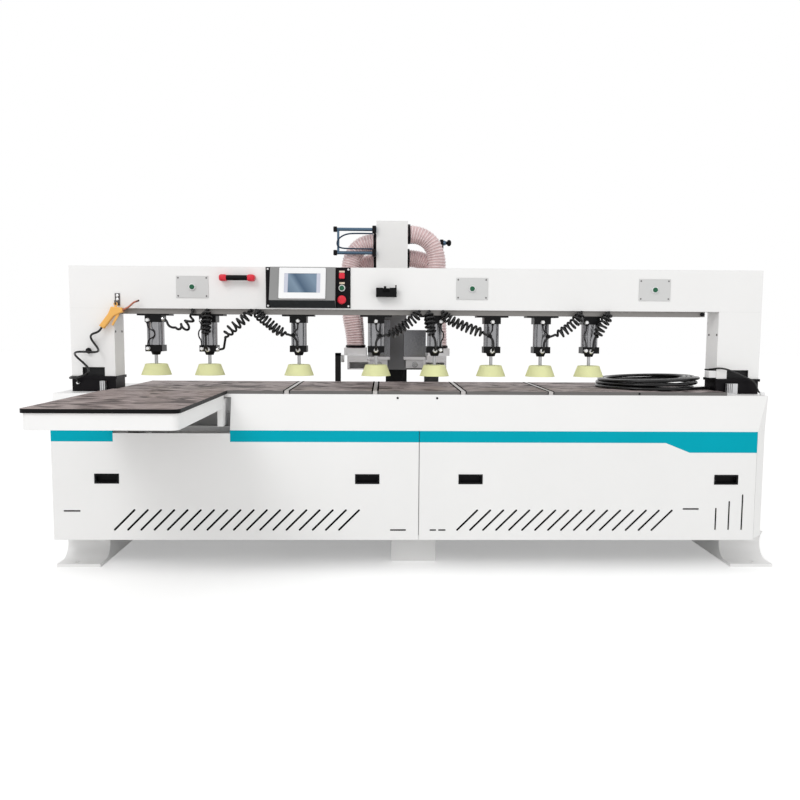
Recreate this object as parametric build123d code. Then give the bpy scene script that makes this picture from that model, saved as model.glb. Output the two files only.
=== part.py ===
from build123d import *
import math
import os

# Side hole drilling machine. All sizes are in millimetres. X runs along the machine, the operator
# stands at -Y and Z is up from the floor. The origin is on the floor under the middle of the outline.

# Base cabinet
BASE_LENGTH = 3200
BASE_DEPTH = 1100
TABLE_HEIGHT = 810
LENGTH_SHARE = BASE_LENGTH / 3200
PANEL_BOTTOM = 133
STRIPE_LOW = TABLE_HEIGHT - 272
STRIPE_BOTTOM = TABLE_HEIGHT - 228
STRIPE_TOP = TABLE_HEIGHT - 176
STEP_LEFT = 1120 * LENGTH_SHARE
STEP_RIGHT = 1230 * LENGTH_SHARE
FASCIA_LEAN = 40
CORNER_BEVEL = 60
CORNER_TIP = 4
SHEET = 3
PANEL_SEAM = 3
TUBE = 80
TUBE_WALL = 5
FRAME_SETBACK = 60
POST_PITCH = 730 * LENGTH_SHARE
FRAME_BOTTOM = 140

# Openings and vents in the front panels
VENT_LENGTH = 137
VENT_WIDTH = 9
VENT_PITCH = 59.5 * LENGTH_SHARE
VENT_CENTRE_Z = 225
VENTS_LEFT_START = -1328 * LENGTH_SHARE
VENTS_LEFT_COUNT = 18
VENTS_RIGHT_START = 221 * LENGTH_SHARE
VENTS_RIGHT_COUNT = 16
PULL_WIDTH = 110
PULL_HEIGHT = 45
PULL_DEPTH = 24
PULL_Z = 414
PULL_CENTRES = tuple(x * LENGTH_SHARE for x in (-1403, -234, 234, 1403))
SLIT_WIDTH = 7
SHORT_SLITS = ((-1562, 266, 76), (-94, 179, 73), (65, 179, 30), (106, 179, 34), (1246, 278, 75))
TALL_SLIT_X = 1362 * LENGTH_SHARE
TALL_SLIT_PITCH = 60.5 * LENGTH_SHARE
TALL_SLIT_BOTTOM = 180
TALL_SLIT_HEIGHTS = (103, 135, 166)

# Floor feet
FOOT_WIDTH = 197
FOOT_OVERHANG = 46
FOOT_TOE = 20
FOOT_DEPTH = 460
FOOT_PLATE = 15
FOOT_SHOULDER = 105
FOOT_TOE_FLAT = 65
ANCHOR_RADIUS = 9
ANCHOR_INSET = 35
ANCHOR_EDGE = 81
MIDDLE_FOOT_WIDTH = 208
MIDDLE_FOOT_X = -19
MIDDLE_FOOT_DEPTH = 160
MIDDLE_FOOT_SETBACK = 119

# Table
TABLE_DEPTH = BASE_DEPTH - 460
BOARD = 15
BOARD_END = 1408 * LENGTH_SHARE
STRIP_PITCH = 400 * LENGTH_SHARE
STRIP_WIDTH = 20
STRIP_GAP = 5
DECK_MARGIN = 10

# Side table
SIDE_REACH = 790
SIDE_LEFT = -1421 * LENGTH_SHARE
SIDE_WIDTH = 554 * LENGTH_SHARE
SIDE_OVERHANG = 7
SIDE_APRON = 60
SIDE_APRON_WALL = 4
SIDE_CORNER = 26
SIDE_RIB = 30
RECESS_LEFT = -1371 * LENGTH_SHARE
RECESS_RIGHT = -849 * LENGTH_SHARE
RECESS_BOTTOM = TABLE_HEIGHT - 190
RECESS_TOP = TABLE_HEIGHT - 30
SIDE_LEG = 24
SIDE_TABLE_GAP = 2
SIDE_LEG_DROP = 80

# Portal over the table
BEAM_SETBACK = 146
BEAM_DEPTH = 130
BEAM_BOTTOM = TABLE_HEIGHT + 368
BEAM_TOP = BEAM_BOTTOM + 192
COLUMN_WIDTH = 200
COLUMN_BOTTOM = TABLE_HEIGHT + 56
PORTAL_TUBE_X = 160
PORTAL_TUBE_Y = 100
PORTAL_TUBE_WALL = 8
BEAM_TUBE_HEIGHT = 160
BOOT_FLANGE = 6
BOOT_FLANGE_HEIGHT = 12
CUTOUT_WIDTH = 102
CUTOUT_HEIGHT = 41
STOP_DEPTH = 24
STOP_HEIGHT = 50
STOP_LEFT = (-1463 * LENGTH_SHARE, -1441 * LENGTH_SHARE)
STOP_RIGHT = (1442 * LENGTH_SHARE, 1490 * LENGTH_SHARE)

# Clamp rail and press cylinders
RAIL_HEIGHT = 24
RAIL_DEPTH = 90
RAIL_SLOT_WIDTH = 16
RAIL_SLOT_DEPTH = 10
RAIL_END_GAP = 58
PRESS_X = tuple(x * LENGTH_SHARE for x in (-1230, -980, -561, -198, 78, 346, 581, 812))
PRESS_PLATE = (148, 84, 8)
CAP_SIZE = 78
UPPER_CAP = 30
LOWER_CAP = 30
BARREL_LENGTH = 106
BARREL_RADIUS = 36
BORE_RADIUS = 31.5
TIE_ROD_RADIUS = 4
TIE_ROD_SPACING = 56
GLAND_HEIGHT = 16
GLAND_TOP_RADIUS = 24
GLAND_NOSE_RADIUS = 18
ROD_RADIUS = 8
ROD_SHOWN = 42
PISTON_HEIGHT = 20
PISTON_TOP_GAP = 10
PAD_HEIGHT = 52
PAD_RADIUS = 70
PAD_TOP_RADIUS = 46
PAD_EDGE = 7
SLIDING_GAP = 0.08

# Curly air hoses between the rail and the cylinders
AIR_TUBE = 11
CURL_RADIUS = 20
CURL_STEPS = 4
CURL_EASE = 1.9
CURL_LEAD = 3
TAIL_SPANS = 2
TAIL_STEPS = 6
HOSE_SETBACK = 6
AIR_HOSE_OFFSET = 30

# Operator panel on the beam
PANEL_LEFT = -704 * LENGTH_SHARE
PANEL_RIGHT = -316 * LENGTH_SHARE
PANEL_LOW = BEAM_BOTTOM + 6
PANEL_PLATE = 4
HOUSING_LEFT = -681 * LENGTH_SHARE
HOUSING_RIGHT = -384 * LENGTH_SHARE
HOUSING_RIDGE_Z = BEAM_BOTTOM + 39
HOUSING_RIDGE = 66
HOUSING_TOP = 16
DISPLAY_WIDTH = 211
DISPLAY_HEIGHT = 148
DISPLAY_THICK = 7
SCREEN_WIDTH = 163
SCREEN_HEIGHT = 92
SCREEN_RAISE = 0
SCREEN_DEPTH = 2
CONTROL_X = -355 * LENGTH_SHARE
LAMP_Z = BEAM_BOTTOM + 153
PANEL_START_Z = BEAM_BOTTOM + 98
STOP_Z = BEAM_BOTTOM + 44
LAMP_SIZE = 26
LAMP_HEIGHT = 18
LAMP_CORNER = 5
LAMP_EDGE = 3

# Push buttons
BUTTON_RADIUS = 11
BUTTON_TRAVEL = 3.5
BUTTON_PROUD = 5
RING_RADIUS = 15
RING_HEIGHT = 8
BUTTON_PLATE = (147, 100, 3)
BUTTON_PLATE_X = tuple(x * LENGTH_SHARE for x in (-1040, 245, 1094))
BUTTON_PLATE_Z = BEAM_BOTTOM + 99
STOP_HEAD_RADIUS = 20
STOP_HEAD_HEIGHT = 16
STOP_STEM_RADIUS = 10
STOP_COLLAR_HEIGHT = 12
STOP_GAP = 8
BUTTON_END_GAP = 0.5

# Small fittings on the beam
HANDLE_X = -830 * LENGTH_SHARE
HANDLE_Z = BEAM_BOTTOM + 140
HANDLE_LENGTH = 160
HANDLE_RADIUS = 12
HANDLE_STANDOFF = 34
HANDLE_FOOT = 22
CRADLE_LEFT = -198 * LENGTH_SHARE
CRADLE_WIDTH = 94
CRADLE_BOTTOM = BEAM_BOTTOM + 58
CRADLE_HEIGHT = 41
CRADLE_DEPTH = 48
CRADLE_WALL = 4

# Blow gun on its hook
HOOK_X = -1382 * LENGTH_SHARE
HOOK_WIDTH = 23
HOOK_BOTTOM = BEAM_BOTTOM + 12
HOOK_HEIGHT = 56
HOOK_PLATE = 3
HOOK_WIRE = 3
HOOK_REACH = 34
HOOK_TIP = 14
HOOK_WIRE_Z = BEAM_BOTTOM + 20
GUN_THICKNESS = 22
GUN_SETBACK = 28
GUN_EDGE = 5
NOZZLE_RADIUS = 4
TRIGGER_THICKNESS = 9
TRIGGER_PIN_RADIUS = 3
TRIGGER_BOSS = 3
TRIGGER_SIDE_GAP = 0.4
GUN_EYE = 6
GUN_NECK = 10
GUN_NECK_DROP = 22
GUN_EYE_DROP = 2
GUN_EYE_HOLE = 5.3
NOZZLE_BEND = 18
HOSE_SWELL = 42
HOSE_TUBE = 10
GUN_HOSE_TURNS = 3
GUN_HOSE_DROP = 55
GUN_HOSE_LEAN = 14
GUN_HOSE_CORNERS = ((46, 62, 115), (4, 62, 6))
GUN_HOSE_END_X = 70
GUN_HOSE_END_RISE = 40

# Drilling head and its guides
RAIL_FRONT = BASE_DEPTH - 300
GUIDE_RAIL_WIDTH = 28
GUIDE_RAIL_HEIGHT = 26
GUIDE_LENGTH = 3000 * LENGTH_SHARE
RAIL_SEAT = TABLE_HEIGHT - 170
HEAD_X = -90
SADDLE_LENGTH = 500
SADDLE_PLATE = 22
BEARING_LENGTH = 90
BEARING_WIDTH = 60
BEARING_HEIGHT = 45
BEARING_INSET = 15
BEARING_LIFT = 5
POST_REACH = 320
POST_SIZE = 30
POST_TOP = TABLE_HEIGHT + 148
RACK_MODULE = 3
RACK_BACK = 12
RACK_HEIGHT = 28
RACK_SETBACK = 5
PINION_TEETH = 24
PINION_HEIGHT = 22
PINION_LIFT = 4
TOOTH_BACKLASH = 0.4
MESH_GAP = 0.2
PRESSURE_ANGLE = 20
MOTOR_SHAFT_RADIUS = 7
MOTOR_SHAFT_ROOM = 6
DRIVE_MOTOR_X = 200
DRIVE_MOTOR_SIZE = 80
DRIVE_MOTOR_HEIGHT = 150
FEED_GUIDE_X = 90
FEED_GUIDE_WIDTH = 20
FEED_GUIDE_HEIGHT = 18
FEED_WIDTH = 240
FEED_PLATE = 43
FEED_FRONT = BASE_DEPTH - 270
COLUMN_X = 120
COLUMN_Y = 100
COLUMN_FRONT = BASE_DEPTH - 135
COLUMN_TOP = TABLE_HEIGHT + 280
COLUMN_WALL = 8
HEAD_GUIDE_X = 40
HEAD_GUIDE_WIDTH = 20
HEAD_GUIDE_DEPTH = 14
HEAD_GUIDE_BOTTOM = TABLE_HEIGHT - 10
HEAD_PLATE_WIDTH = 300
HEAD_PLATE = 25
HEAD_PLATE_BOTTOM = TABLE_HEIGHT + 52
HEAD_PLATE_TOP = TABLE_HEIGHT + 370
HEAD_STEP_Z = TABLE_HEIGHT + 200
HEAD_BLOCK_WIDTH = 140
HEAD_BLOCK_BOTTOM = TABLE_HEIGHT + 90
HEAD_BLOCK_TOP = TABLE_HEIGHT + 250
HEAD_BLOCK_GAP = 2

# Spindle motors, gearboxes and drills
SPINDLE_X = 98
SPINDLE_MOTOR = 120
SPINDLE_MOTOR_BOTTOM = TABLE_HEIGHT + 128
SPINDLE_MOTOR_HEIGHTS = (200, 147)
MOTOR_FIN_COUNT = 7
MOTOR_FIN_DEPTH = 4
MOTOR_FIN_WIDTH = 6
GEARBOX_WIDTH = 94
GEARBOX_DEPTH = 105
GEARBOX_BOTTOM = TABLE_HEIGHT + 66
GEARBOX_FLANGE = 16
DRILL_Z = TABLE_HEIGHT + 87
NOSE_RADIUS = 16
NOSE_SEAT = 60
NOSE_LENGTH = 30
CHUCK_RADIUS = 13
CHUCK_LENGTH = 20
BIT_RADIUS = 4
BIT_LENGTH = 50

# Dust extraction on the head
HOOD_OUTER = 270
HOOD_FRONT = BASE_DEPTH - 330
HOOD_DEPTH = 130
HOOD_BOTTOM = TABLE_HEIGHT + 59
HOOD_HEIGHT = 76
DUCT_HEIGHT = 40
HOOD_WALL = 3
HOOD_MOUTH_HEIGHT = 40
HOOD_CLEAR = 4
DUCT_INNER = 168
DUCT_OUTER = 288
DUCT_FRONT = BASE_DEPTH - 315
DUCT_BACK = BASE_DEPTH - 108
HOSE_RADIUS = 50
HOSE_GROOVE = 4
HOSE_BORE = 43
HOSE_RIBS = 48
HOSE_FRONT_Y = BASE_DEPTH - 265
HOSE_REAR_Y = BASE_DEPTH - 160
HOSE_FOOT_X = 228
BOX_LEFT = -114
BOX_RIGHT = 55
BOX_FRONT = BASE_DEPTH - 315
BOX_DEPTH = 205
BOX_TOP = TABLE_HEIGHT + 859
BOX_WALL = 3
LEFT_UPPER_Z = TABLE_HEIGHT + 748
LEFT_LOWER_Z = TABLE_HEIGHT + 649
RIGHT_UPPER_Z = TABLE_HEIGHT + 795
RIGHT_LOWER_Z = TABLE_HEIGHT + 673
OUTLET_RADIUS = 62.5
OUTLET_LENGTH = 100
OUTLET_Z = TABLE_HEIGHT + 750
GATE_UPPER_Z = TABLE_HEIGHT + 810
GATE_LOWER_Z = TABLE_HEIGHT + 686
GATE_REACH = 223
GATE_LINK_REACH = 204
GATE_BAR_RADIUS = 9
GATE_BAR_Y = BASE_DEPTH - 332
GATE_BRACKET = 20
GATE_LINK = 12
PULL_ROD_RADIUS = 6
PULL_ROD_Z = TABLE_HEIGHT + 756
PULL_ROD_Y = BASE_DEPTH - 202
PULL_ROD_REACH = 205
PULL_KNOB_RADIUS = 14

# Power cable lying on the table
CABLE = 14
COIL_INSET = 270
COIL_Y = 355
COIL_RADIUS = 245
COIL_STEP = 18.5
COIL_RISE = 14.6
COIL_LAYERS = 3
COIL_LOOPS = 3
CABLE_REST_GAP = 0.3
LEAD_OUT = 49

# Derived places
FRONT = (SIDE_REACH - BASE_DEPTH) / 2
BACK = FRONT + BASE_DEPTH
HALF = BASE_LENGTH / 2
LEFT_END = HALF + FOOT_OVERHANG
DECK_TOP = TABLE_HEIGHT - BOARD
TABLE_FRONT = FRONT + FASCIA_LEAN
TABLE_BACK = TABLE_FRONT + TABLE_DEPTH
DECK_BACK = TABLE_BACK + DECK_MARGIN
TUBE_FRONT = FRONT + FRAME_SETBACK
TUBE_MIDDLE = DECK_BACK - SHEET - TUBE
TUBE_RAIL = FRONT + RAIL_FRONT - TUBE / 2
TUBE_REAR = BACK - SHEET - TUBE
FRAME_END = HALF - SHEET
PANEL_END = HALF - CORNER_BEVEL - SHEET * math.tan(math.radians(22.5))
RAIL_LINES = (TUBE_RAIL + TUBE / 2, TUBE_REAR + TUBE / 2)
BEAM_FRONT = FRONT + BEAM_SETBACK
BEAM_BACK = BEAM_FRONT + BEAM_DEPTH
BEAM_MIDDLE = (BEAM_FRONT + BEAM_BACK) / 2
COLUMN_INNER = HALF - COLUMN_WIDTH
COLUMN_CENTRE = HALF - COLUMN_WIDTH / 2
COIL_X = COLUMN_INNER - COIL_INSET
RAIL_BOTTOM = BEAM_BOTTOM - RAIL_HEIGHT
CAP_TOP = RAIL_BOTTOM - PRESS_PLATE[2]
BARREL_TOP = CAP_TOP - UPPER_CAP
BARREL_BOTTOM = BARREL_TOP - BARREL_LENGTH
LOWER_CAP_BOTTOM = BARREL_BOTTOM - LOWER_CAP
GLAND_BOTTOM = LOWER_CAP_BOTTOM - GLAND_HEIGHT
PAD_TOP = GLAND_BOTTOM - ROD_SHOWN
PAD_BOTTOM = PAD_TOP - PAD_HEIGHT
HOOD_SPLIT = HOOD_BOTTOM + HOOD_HEIGHT
HOOD_TOP = HOOD_SPLIT + DUCT_HEIGHT
SADDLE_BOTTOM = RAIL_SEAT + BEARING_LIFT + BEARING_HEIGHT
SADDLE_TOP = SADDLE_BOTTOM + SADDLE_PLATE
FEED_TOP = SADDLE_TOP + 2 + FEED_PLATE
HEAD_PLATE_FRONT = FRONT + COLUMN_FRONT - HEAD_GUIDE_DEPTH - 40
SPINDLE_Y = HEAD_PLATE_FRONT - SPINDLE_MOTOR / 2
GEARBOX_FRONT = SPINDLE_Y - GEARBOX_DEPTH / 2


def block(x, y, z):
    """A box between low and high pairs on each axis."""
    size = (x[1] - x[0], y[1] - y[0], z[1] - z[0])
    centre = ((x[0] + x[1]) / 2, (y[0] + y[1]) / 2, (z[0] + z[1]) / 2)
    return Pos(*centre) * Box(*size)


def centred(x, y, z, width, depth, height):
    """A box by the middle of its underside and its three sizes."""
    return block((x - width / 2, x + width / 2), (y - depth / 2, y + depth / 2), (z, z + height))


def rod(start, end, radius):
    """A round bar from one point to another."""
    axis = Vector(*end) - Vector(*start)
    foot = (Align.CENTER, Align.CENTER, Align.MIN)
    return Plane(origin=start, z_dir=axis) * Cylinder(radius, axis.length, align=foot)


def plate_xz(outline, y):
    """An outline of (x, z) points, thick from y[0] to y[1]."""
    face = Plane(origin=(0, y[1], 0), x_dir=(1, 0, 0), z_dir=(0, -1, 0)) * Polygon(*outline, align=None)
    return extrude(face, amount=y[1] - y[0], dir=(0, -1, 0))


def plate_yz(outline, x):
    """An outline of (y, z) points, thick from x[0] to x[1]."""
    face = Plane(origin=(x[0], 0, 0), x_dir=(0, 1, 0), z_dir=(1, 0, 0)) * Polygon(*outline, align=None)
    return extrude(face, amount=x[1] - x[0], dir=(1, 0, 0))


def plate_xy(outline, z):
    """An outline of (x, y) points, thick from z[0] to z[1]."""
    face = Plane(origin=(0, 0, z[0])) * Polygon(*outline, align=None)
    return extrude(face, amount=z[1] - z[0], dir=(0, 0, 1))


def tube_shell(x, y, z, wall, open_axis):
    """A hollow box, open at both ends along one axis."""
    walls = [wall, wall, wall]
    walls[open_axis] = -1
    inner = [(low + side, high - side) for (low, high), side in zip((x, y, z), walls)]
    return block(x, y, z) - block(*inner)


def slit(x, z, length, width, angle):
    """A round-ended cutter through the front panel, at an angle from the horizontal."""
    face = Plane(origin=(x, FRONT + SHEET + 1, z), x_dir=(1, 0, 0), z_dir=(0, -1, 0))
    return extrude(face * SlotOverall(length, width, rotation=angle), amount=SHEET + 2)


def fused(shapes):
    """One solid from shapes that touch or overlap."""
    first, *others = shapes
    return first.fuse(*others).clean()


def save(name, *shapes):
    """Write one node as a group of its separate solids."""
    solids = [solid for shape in shapes for solid in shape.solids()]
    export_step(Compound(solids), os.path.join("parts", name + ".step"))


# Base


def base_frame():
    """Square tubes welded into the frame that carries the table, the portal and the head's guides."""
    ends = (SHEET - LEFT_END, FRAME_END)
    low = (FRAME_BOTTOM, FRAME_BOTTOM + TUBE)
    high = (DECK_TOP - SHEET - TUBE, DECK_TOP - SHEET)
    seat = (RAIL_SEAT - TUBE, RAIL_SEAT)
    lines = ((TUBE_MIDDLE, high), (TUBE_RAIL, seat), (TUBE_REAR, seat), (TUBE_REAR, low))
    tubes = [tube_shell(ends, (y, y + TUBE), z, TUBE_WALL, 0) for y, z in lines]
    short = (SHEET - LEFT_END, HALF - CORNER_BEVEL)
    for z in (low, high):
        tubes.append(tube_shell(short, (TUBE_FRONT, TUBE_FRONT + TUBE), z, TUBE_WALL, 0))
    posts = ((TUBE_FRONT, high[0]), (TUBE_MIDDLE, high[0]), (TUBE_REAR, seat[0]))
    spans = ((TUBE_FRONT, TUBE_REAR, low), (TUBE_FRONT, TUBE_MIDDLE, high))
    spans += ((TUBE_MIDDLE, TUBE_RAIL, seat), (TUBE_RAIL, TUBE_REAR, seat))
    for index in range(-2, 3):
        across = (index * POST_PITCH - TUBE / 2, index * POST_PITCH + TUBE / 2)
        for y, top in posts:
            tubes.append(tube_shell(across, (y, y + TUBE), (low[1], top), TUBE_WALL, 2))
        for front, back, z in spans:
            tubes.append(tube_shell(across, (front + TUBE, back), z, TUBE_WALL, 1))
    shelf = (-2 * POST_PITCH + TUBE / 2, -POST_PITCH - TUBE / 2)
    tubes.append(block(shelf, (TUBE_FRONT, TUBE_FRONT + TUBE / 2), (RECESS_BOTTOM, RECESS_BOTTOM + TUBE / 3)))
    return tubes


def plan_outline(inset, lean, back, bevel=CORNER_BEVEL):
    """The cabinet's plan, square at the front left and bevelled at the front right, drawn in by inset."""
    turn = inset * math.tan(math.radians(22.5))
    left = inset - LEFT_END
    right = HALF - inset
    front = FRONT + lean
    flat = (HALF - bevel - turn, front + inset)
    return [(left, back), (left, front + inset), flat, (right, front + bevel + turn), (right, back)]


def cabinet_block(inset, bottom, top, back):
    """The sloped upper cabinet between two heights, as a solid whose bevel runs out at the top."""
    faces = []
    for z in (bottom, top):
        share = (z - STRIPE_TOP) / (DECK_TOP - STRIPE_TOP)
        bevel = CORNER_BEVEL + share * (CORNER_TIP - CORNER_BEVEL)
        outline = plan_outline(inset, share * FASCIA_LEAN, back, bevel)
        faces.append(Plane(origin=(0, 0, z)) * Polygon(*outline, align=None))
    return loft(faces, ruled=True)


def base_deck():
    """The folded sheet that forms the table's underlay and the leaning fascia."""
    outer = cabinet_block(0, STRIPE_TOP, DECK_TOP, DECK_BACK)
    inner = cabinet_block(SHEET, STRIPE_TOP - 1, DECK_TOP - SHEET, DECK_BACK - SHEET)
    notch_depth = (FRONT - 1, FRONT + FASCIA_LEAN + SHEET)
    notch = block((RECESS_LEFT, RECESS_RIGHT), notch_depth, (STRIPE_TOP - 1, RECESS_TOP))
    rear_y = (DECK_BACK - SHEET - 1, DECK_BACK + 1)
    rear = block((SHEET - LEFT_END, FRAME_END), rear_y, (STRIPE_TOP - 1, RAIL_SEAT))
    return outer - inner - notch - rear


def panel_rib(x, bottom, top):
    """A folded return that holds a front panel on a frame post."""
    return block((x - SHEET / 2, x + SHEET / 2), (FRONT + SHEET, TUBE_FRONT), (bottom, top))


def cut_openings(panel, low, high):
    """Cut the vents, slits and pull openings that lie between two X values."""
    cutters = []
    for index in range(VENTS_LEFT_COUNT):
        cutters.append((VENTS_LEFT_START + index * VENT_PITCH, VENT_CENTRE_Z, VENT_LENGTH, VENT_WIDTH, 45))
    for index in range(VENTS_RIGHT_COUNT):
        cutters.append((VENTS_RIGHT_START + index * VENT_PITCH, VENT_CENTRE_Z, VENT_LENGTH, VENT_WIDTH, 45))
    for x, z, length in SHORT_SLITS:
        cutters.append((x * LENGTH_SHARE, z, length, SLIT_WIDTH, 0))
    for index, height in enumerate(TALL_SLIT_HEIGHTS):
        x = TALL_SLIT_X + index * TALL_SLIT_PITCH
        cutters.append((x, TALL_SLIT_BOTTOM + height / 2, height, SLIT_WIDTH, 90))
    shapes = [slit(*cutter) for cutter in cutters if low < cutter[0] < high]
    for x in PULL_CENTRES:
        if low < x < high:
            shapes.append(pull_body(x, 0))
    return panel - shapes


def pull_body(x, inset):
    """The part of a recessed pull that passes through the panel, drawn in by inset."""
    wide = PULL_WIDTH / 2 - 5 - inset
    tall = PULL_HEIGHT / 2 - 5 - inset
    return block((x - wide, x + wide), (FRONT - 1, FRONT + PULL_DEPTH - inset), (PULL_Z - tall, PULL_Z + tall))


def front_panel_left():
    left = -LEFT_END
    right = -PANEL_SEAM / 2
    outline = [(left, PANEL_BOTTOM), (right, PANEL_BOTTOM), (right, STRIPE_BOTTOM)]
    outline += [(RECESS_RIGHT, STRIPE_BOTTOM), (RECESS_RIGHT, RECESS_BOTTOM), (RECESS_LEFT, RECESS_BOTTOM)]
    outline += [(RECESS_LEFT, STRIPE_BOTTOM), (left, STRIPE_BOTTOM)]
    panel = plate_xz(outline, (FRONT, FRONT + SHEET))
    ribs = [panel_rib(x, PANEL_BOTTOM, STRIPE_BOTTOM) for x in (-2 * POST_PITCH, -POST_PITCH)]
    return [cut_openings(panel, left, right)] + ribs


def front_panel_right():
    left = PANEL_SEAM / 2
    right = PANEL_END
    outline = [(left, PANEL_BOTTOM), (right, PANEL_BOTTOM), (right, STRIPE_LOW)]
    outline += [(STEP_RIGHT, STRIPE_LOW), (STEP_LEFT, STRIPE_BOTTOM), (left, STRIPE_BOTTOM)]
    panel = plate_xz(outline, (FRONT, FRONT + SHEET))
    ribs = [panel_rib(x, PANEL_BOTTOM, STRIPE_LOW) for x in (POST_PITCH, 2 * POST_PITCH)]
    return [cut_openings(panel, left, right)] + ribs


def accent_strips():
    """Coloured strips between the front panels and the fascia, wide at the right."""
    left = -LEFT_END
    seam = PANEL_SEAM / 2
    end = PANEL_END
    low = STRIPE_BOTTOM
    high = STRIPE_TOP
    short = [(left, low), (RECESS_LEFT, low), (RECESS_LEFT, high), (left, high)]
    middle = [(RECESS_RIGHT, low), (-seam, low), (-seam, high), (RECESS_RIGHT, high)]
    wide = [(seam, low), (STEP_LEFT, low), (STEP_RIGHT, STRIPE_LOW), (end, STRIPE_LOW)]
    wide += [(end, high), (seam, high)]
    return [plate_xz(outline, (FRONT, FRONT + SHEET)) for outline in (short, middle, wide)]


def base_panels():
    """The flat left end panel, the right one with its bevelled front corner, and the back panel."""
    outer = plan_outline(0, 0, BACK)
    inner = plan_outline(SHEET, 0, BACK)
    height = (FRAME_BOTTOM, STRIPE_TOP)
    left = block((-LEFT_END, SHEET - LEFT_END), (FRONT + SHEET, BACK), height)
    right = plate_xy([outer[2], outer[3], outer[4], inner[4], inner[3], inner[2]], height)
    back = block((SHEET - LEFT_END, HALF - SHEET), (BACK - SHEET, BACK), height)
    return left, right, back


def recess_pulls():
    cups = []
    for x in PULL_CENTRES:
        flange = block(
            (x - PULL_WIDTH / 2, x + PULL_WIDTH / 2),
            (FRONT - SHEET / 2, FRONT),
            (PULL_Z - PULL_HEIGHT / 2, PULL_Z + PULL_HEIGHT / 2),
        )
        hollow = pull_body(x, SHEET)
        mouth = hollow.moved(Location((0, -SHEET, 0)))
        cups.append(fused([flange, pull_body(x, 0.2)]) - hollow - mouth)
    return cups


def corner_foot(side, back_row):
    """A foot with a swept front, a flat toe and one anchor hole."""
    toe = FOOT_TOE
    heel = FOOT_TOE + FOOT_DEPTH
    path = [
        Line((toe, 0), (heel, 0)),
        Line((heel, 0), (heel, FRAME_BOTTOM)),
        Line((heel, FRAME_BOTTOM), (toe + FOOT_SHOULDER, FRAME_BOTTOM)),
        TangentArc((toe + FOOT_TOE_FLAT, FOOT_PLATE), (toe + FOOT_SHOULDER, FRAME_BOTTOM), tangent=(1, 0)),
        Line((toe + FOOT_TOE_FLAT, FOOT_PLATE), (toe, FOOT_PLATE)),
        Line((toe, FOOT_PLATE), (toe, 0)),
    ]
    inner = HALF + FOOT_OVERHANG - FOOT_WIDTH
    plane = Plane(origin=(inner, 0, 0), x_dir=(0, 1, 0), z_dir=(1, 0, 0))
    foot = extrude(plane * make_face(Curve() + path), amount=FOOT_WIDTH)
    hole = rod((HALF + FOOT_OVERHANG - ANCHOR_EDGE, toe + ANCHOR_INSET, -1),
               (HALF + FOOT_OVERHANG - ANCHOR_EDGE, toe + ANCHOR_INSET, FOOT_PLATE + 1), ANCHOR_RADIUS)
    foot = foot - hole
    if back_row:
        foot = mirror(foot, Plane.XZ).moved(Location((0, BACK, 0)))
    else:
        foot = foot.moved(Location((0, FRONT, 0)))
    return foot if side > 0 else mirror(foot, Plane.YZ)


def floor_feet():
    feet = [corner_foot(side, row) for side in (-1, 1) for row in (False, True)]
    half = MIDDLE_FOOT_WIDTH / 2
    near = FRONT + MIDDLE_FOOT_SETBACK
    far = BACK - MIDDLE_FOOT_SETBACK
    for y in ((near, near + MIDDLE_FOOT_DEPTH), (far - MIDDLE_FOOT_DEPTH, far)):
        feet.append(block((MIDDLE_FOOT_X - half, MIDDLE_FOOT_X + half), y, (0, FRAME_BOTTOM)))
    return feet


# Table


def strip_centres():
    return [STRIP_PITCH * (index - 1.5) for index in range(4)]


def table_boards():
    """Boards between the strips, notched round the column boots at both ends."""
    gap = STRIP_WIDTH / 2 + STRIP_GAP
    edges = [-BOARD_END]
    for x in strip_centres():
        edges += [x - gap, x + gap]
    edges.append(BOARD_END)
    height = (DECK_TOP, TABLE_HEIGHT)
    boards = [block(edges[i:i + 2], (TABLE_FRONT, TABLE_BACK), height) for i in range(0, len(edges), 2)]
    room = COLUMN_INNER - BOOT_FLANGE - STRIP_GAP
    notch_front = BEAM_FRONT - BOOT_FLANGE - STRIP_GAP
    for index, side in ((0, -1), (-1, 1)):
        x = sorted((side * room, side * (BOARD_END + 1)))
        notch = block(x, (notch_front, TABLE_BACK + 1), (DECK_TOP - 1, TABLE_HEIGHT + 1))
        boards[index] = boards[index] - notch
    return boards


def table_strips():
    height = (DECK_TOP, TABLE_HEIGHT)
    half = STRIP_WIDTH / 2
    return [block((x - half, x + half), (TABLE_FRONT, TABLE_BACK), height) for x in strip_centres()]


def rounded_front(left, right, front, back, z):
    """A slab whose two front corners are rounded."""
    slab = block((left, right), (front, back), z)
    corners = slab.edges().filter_by(Axis.Z).group_by(Axis.Y)[0]
    return fillet(corners, SIDE_CORNER)


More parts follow.
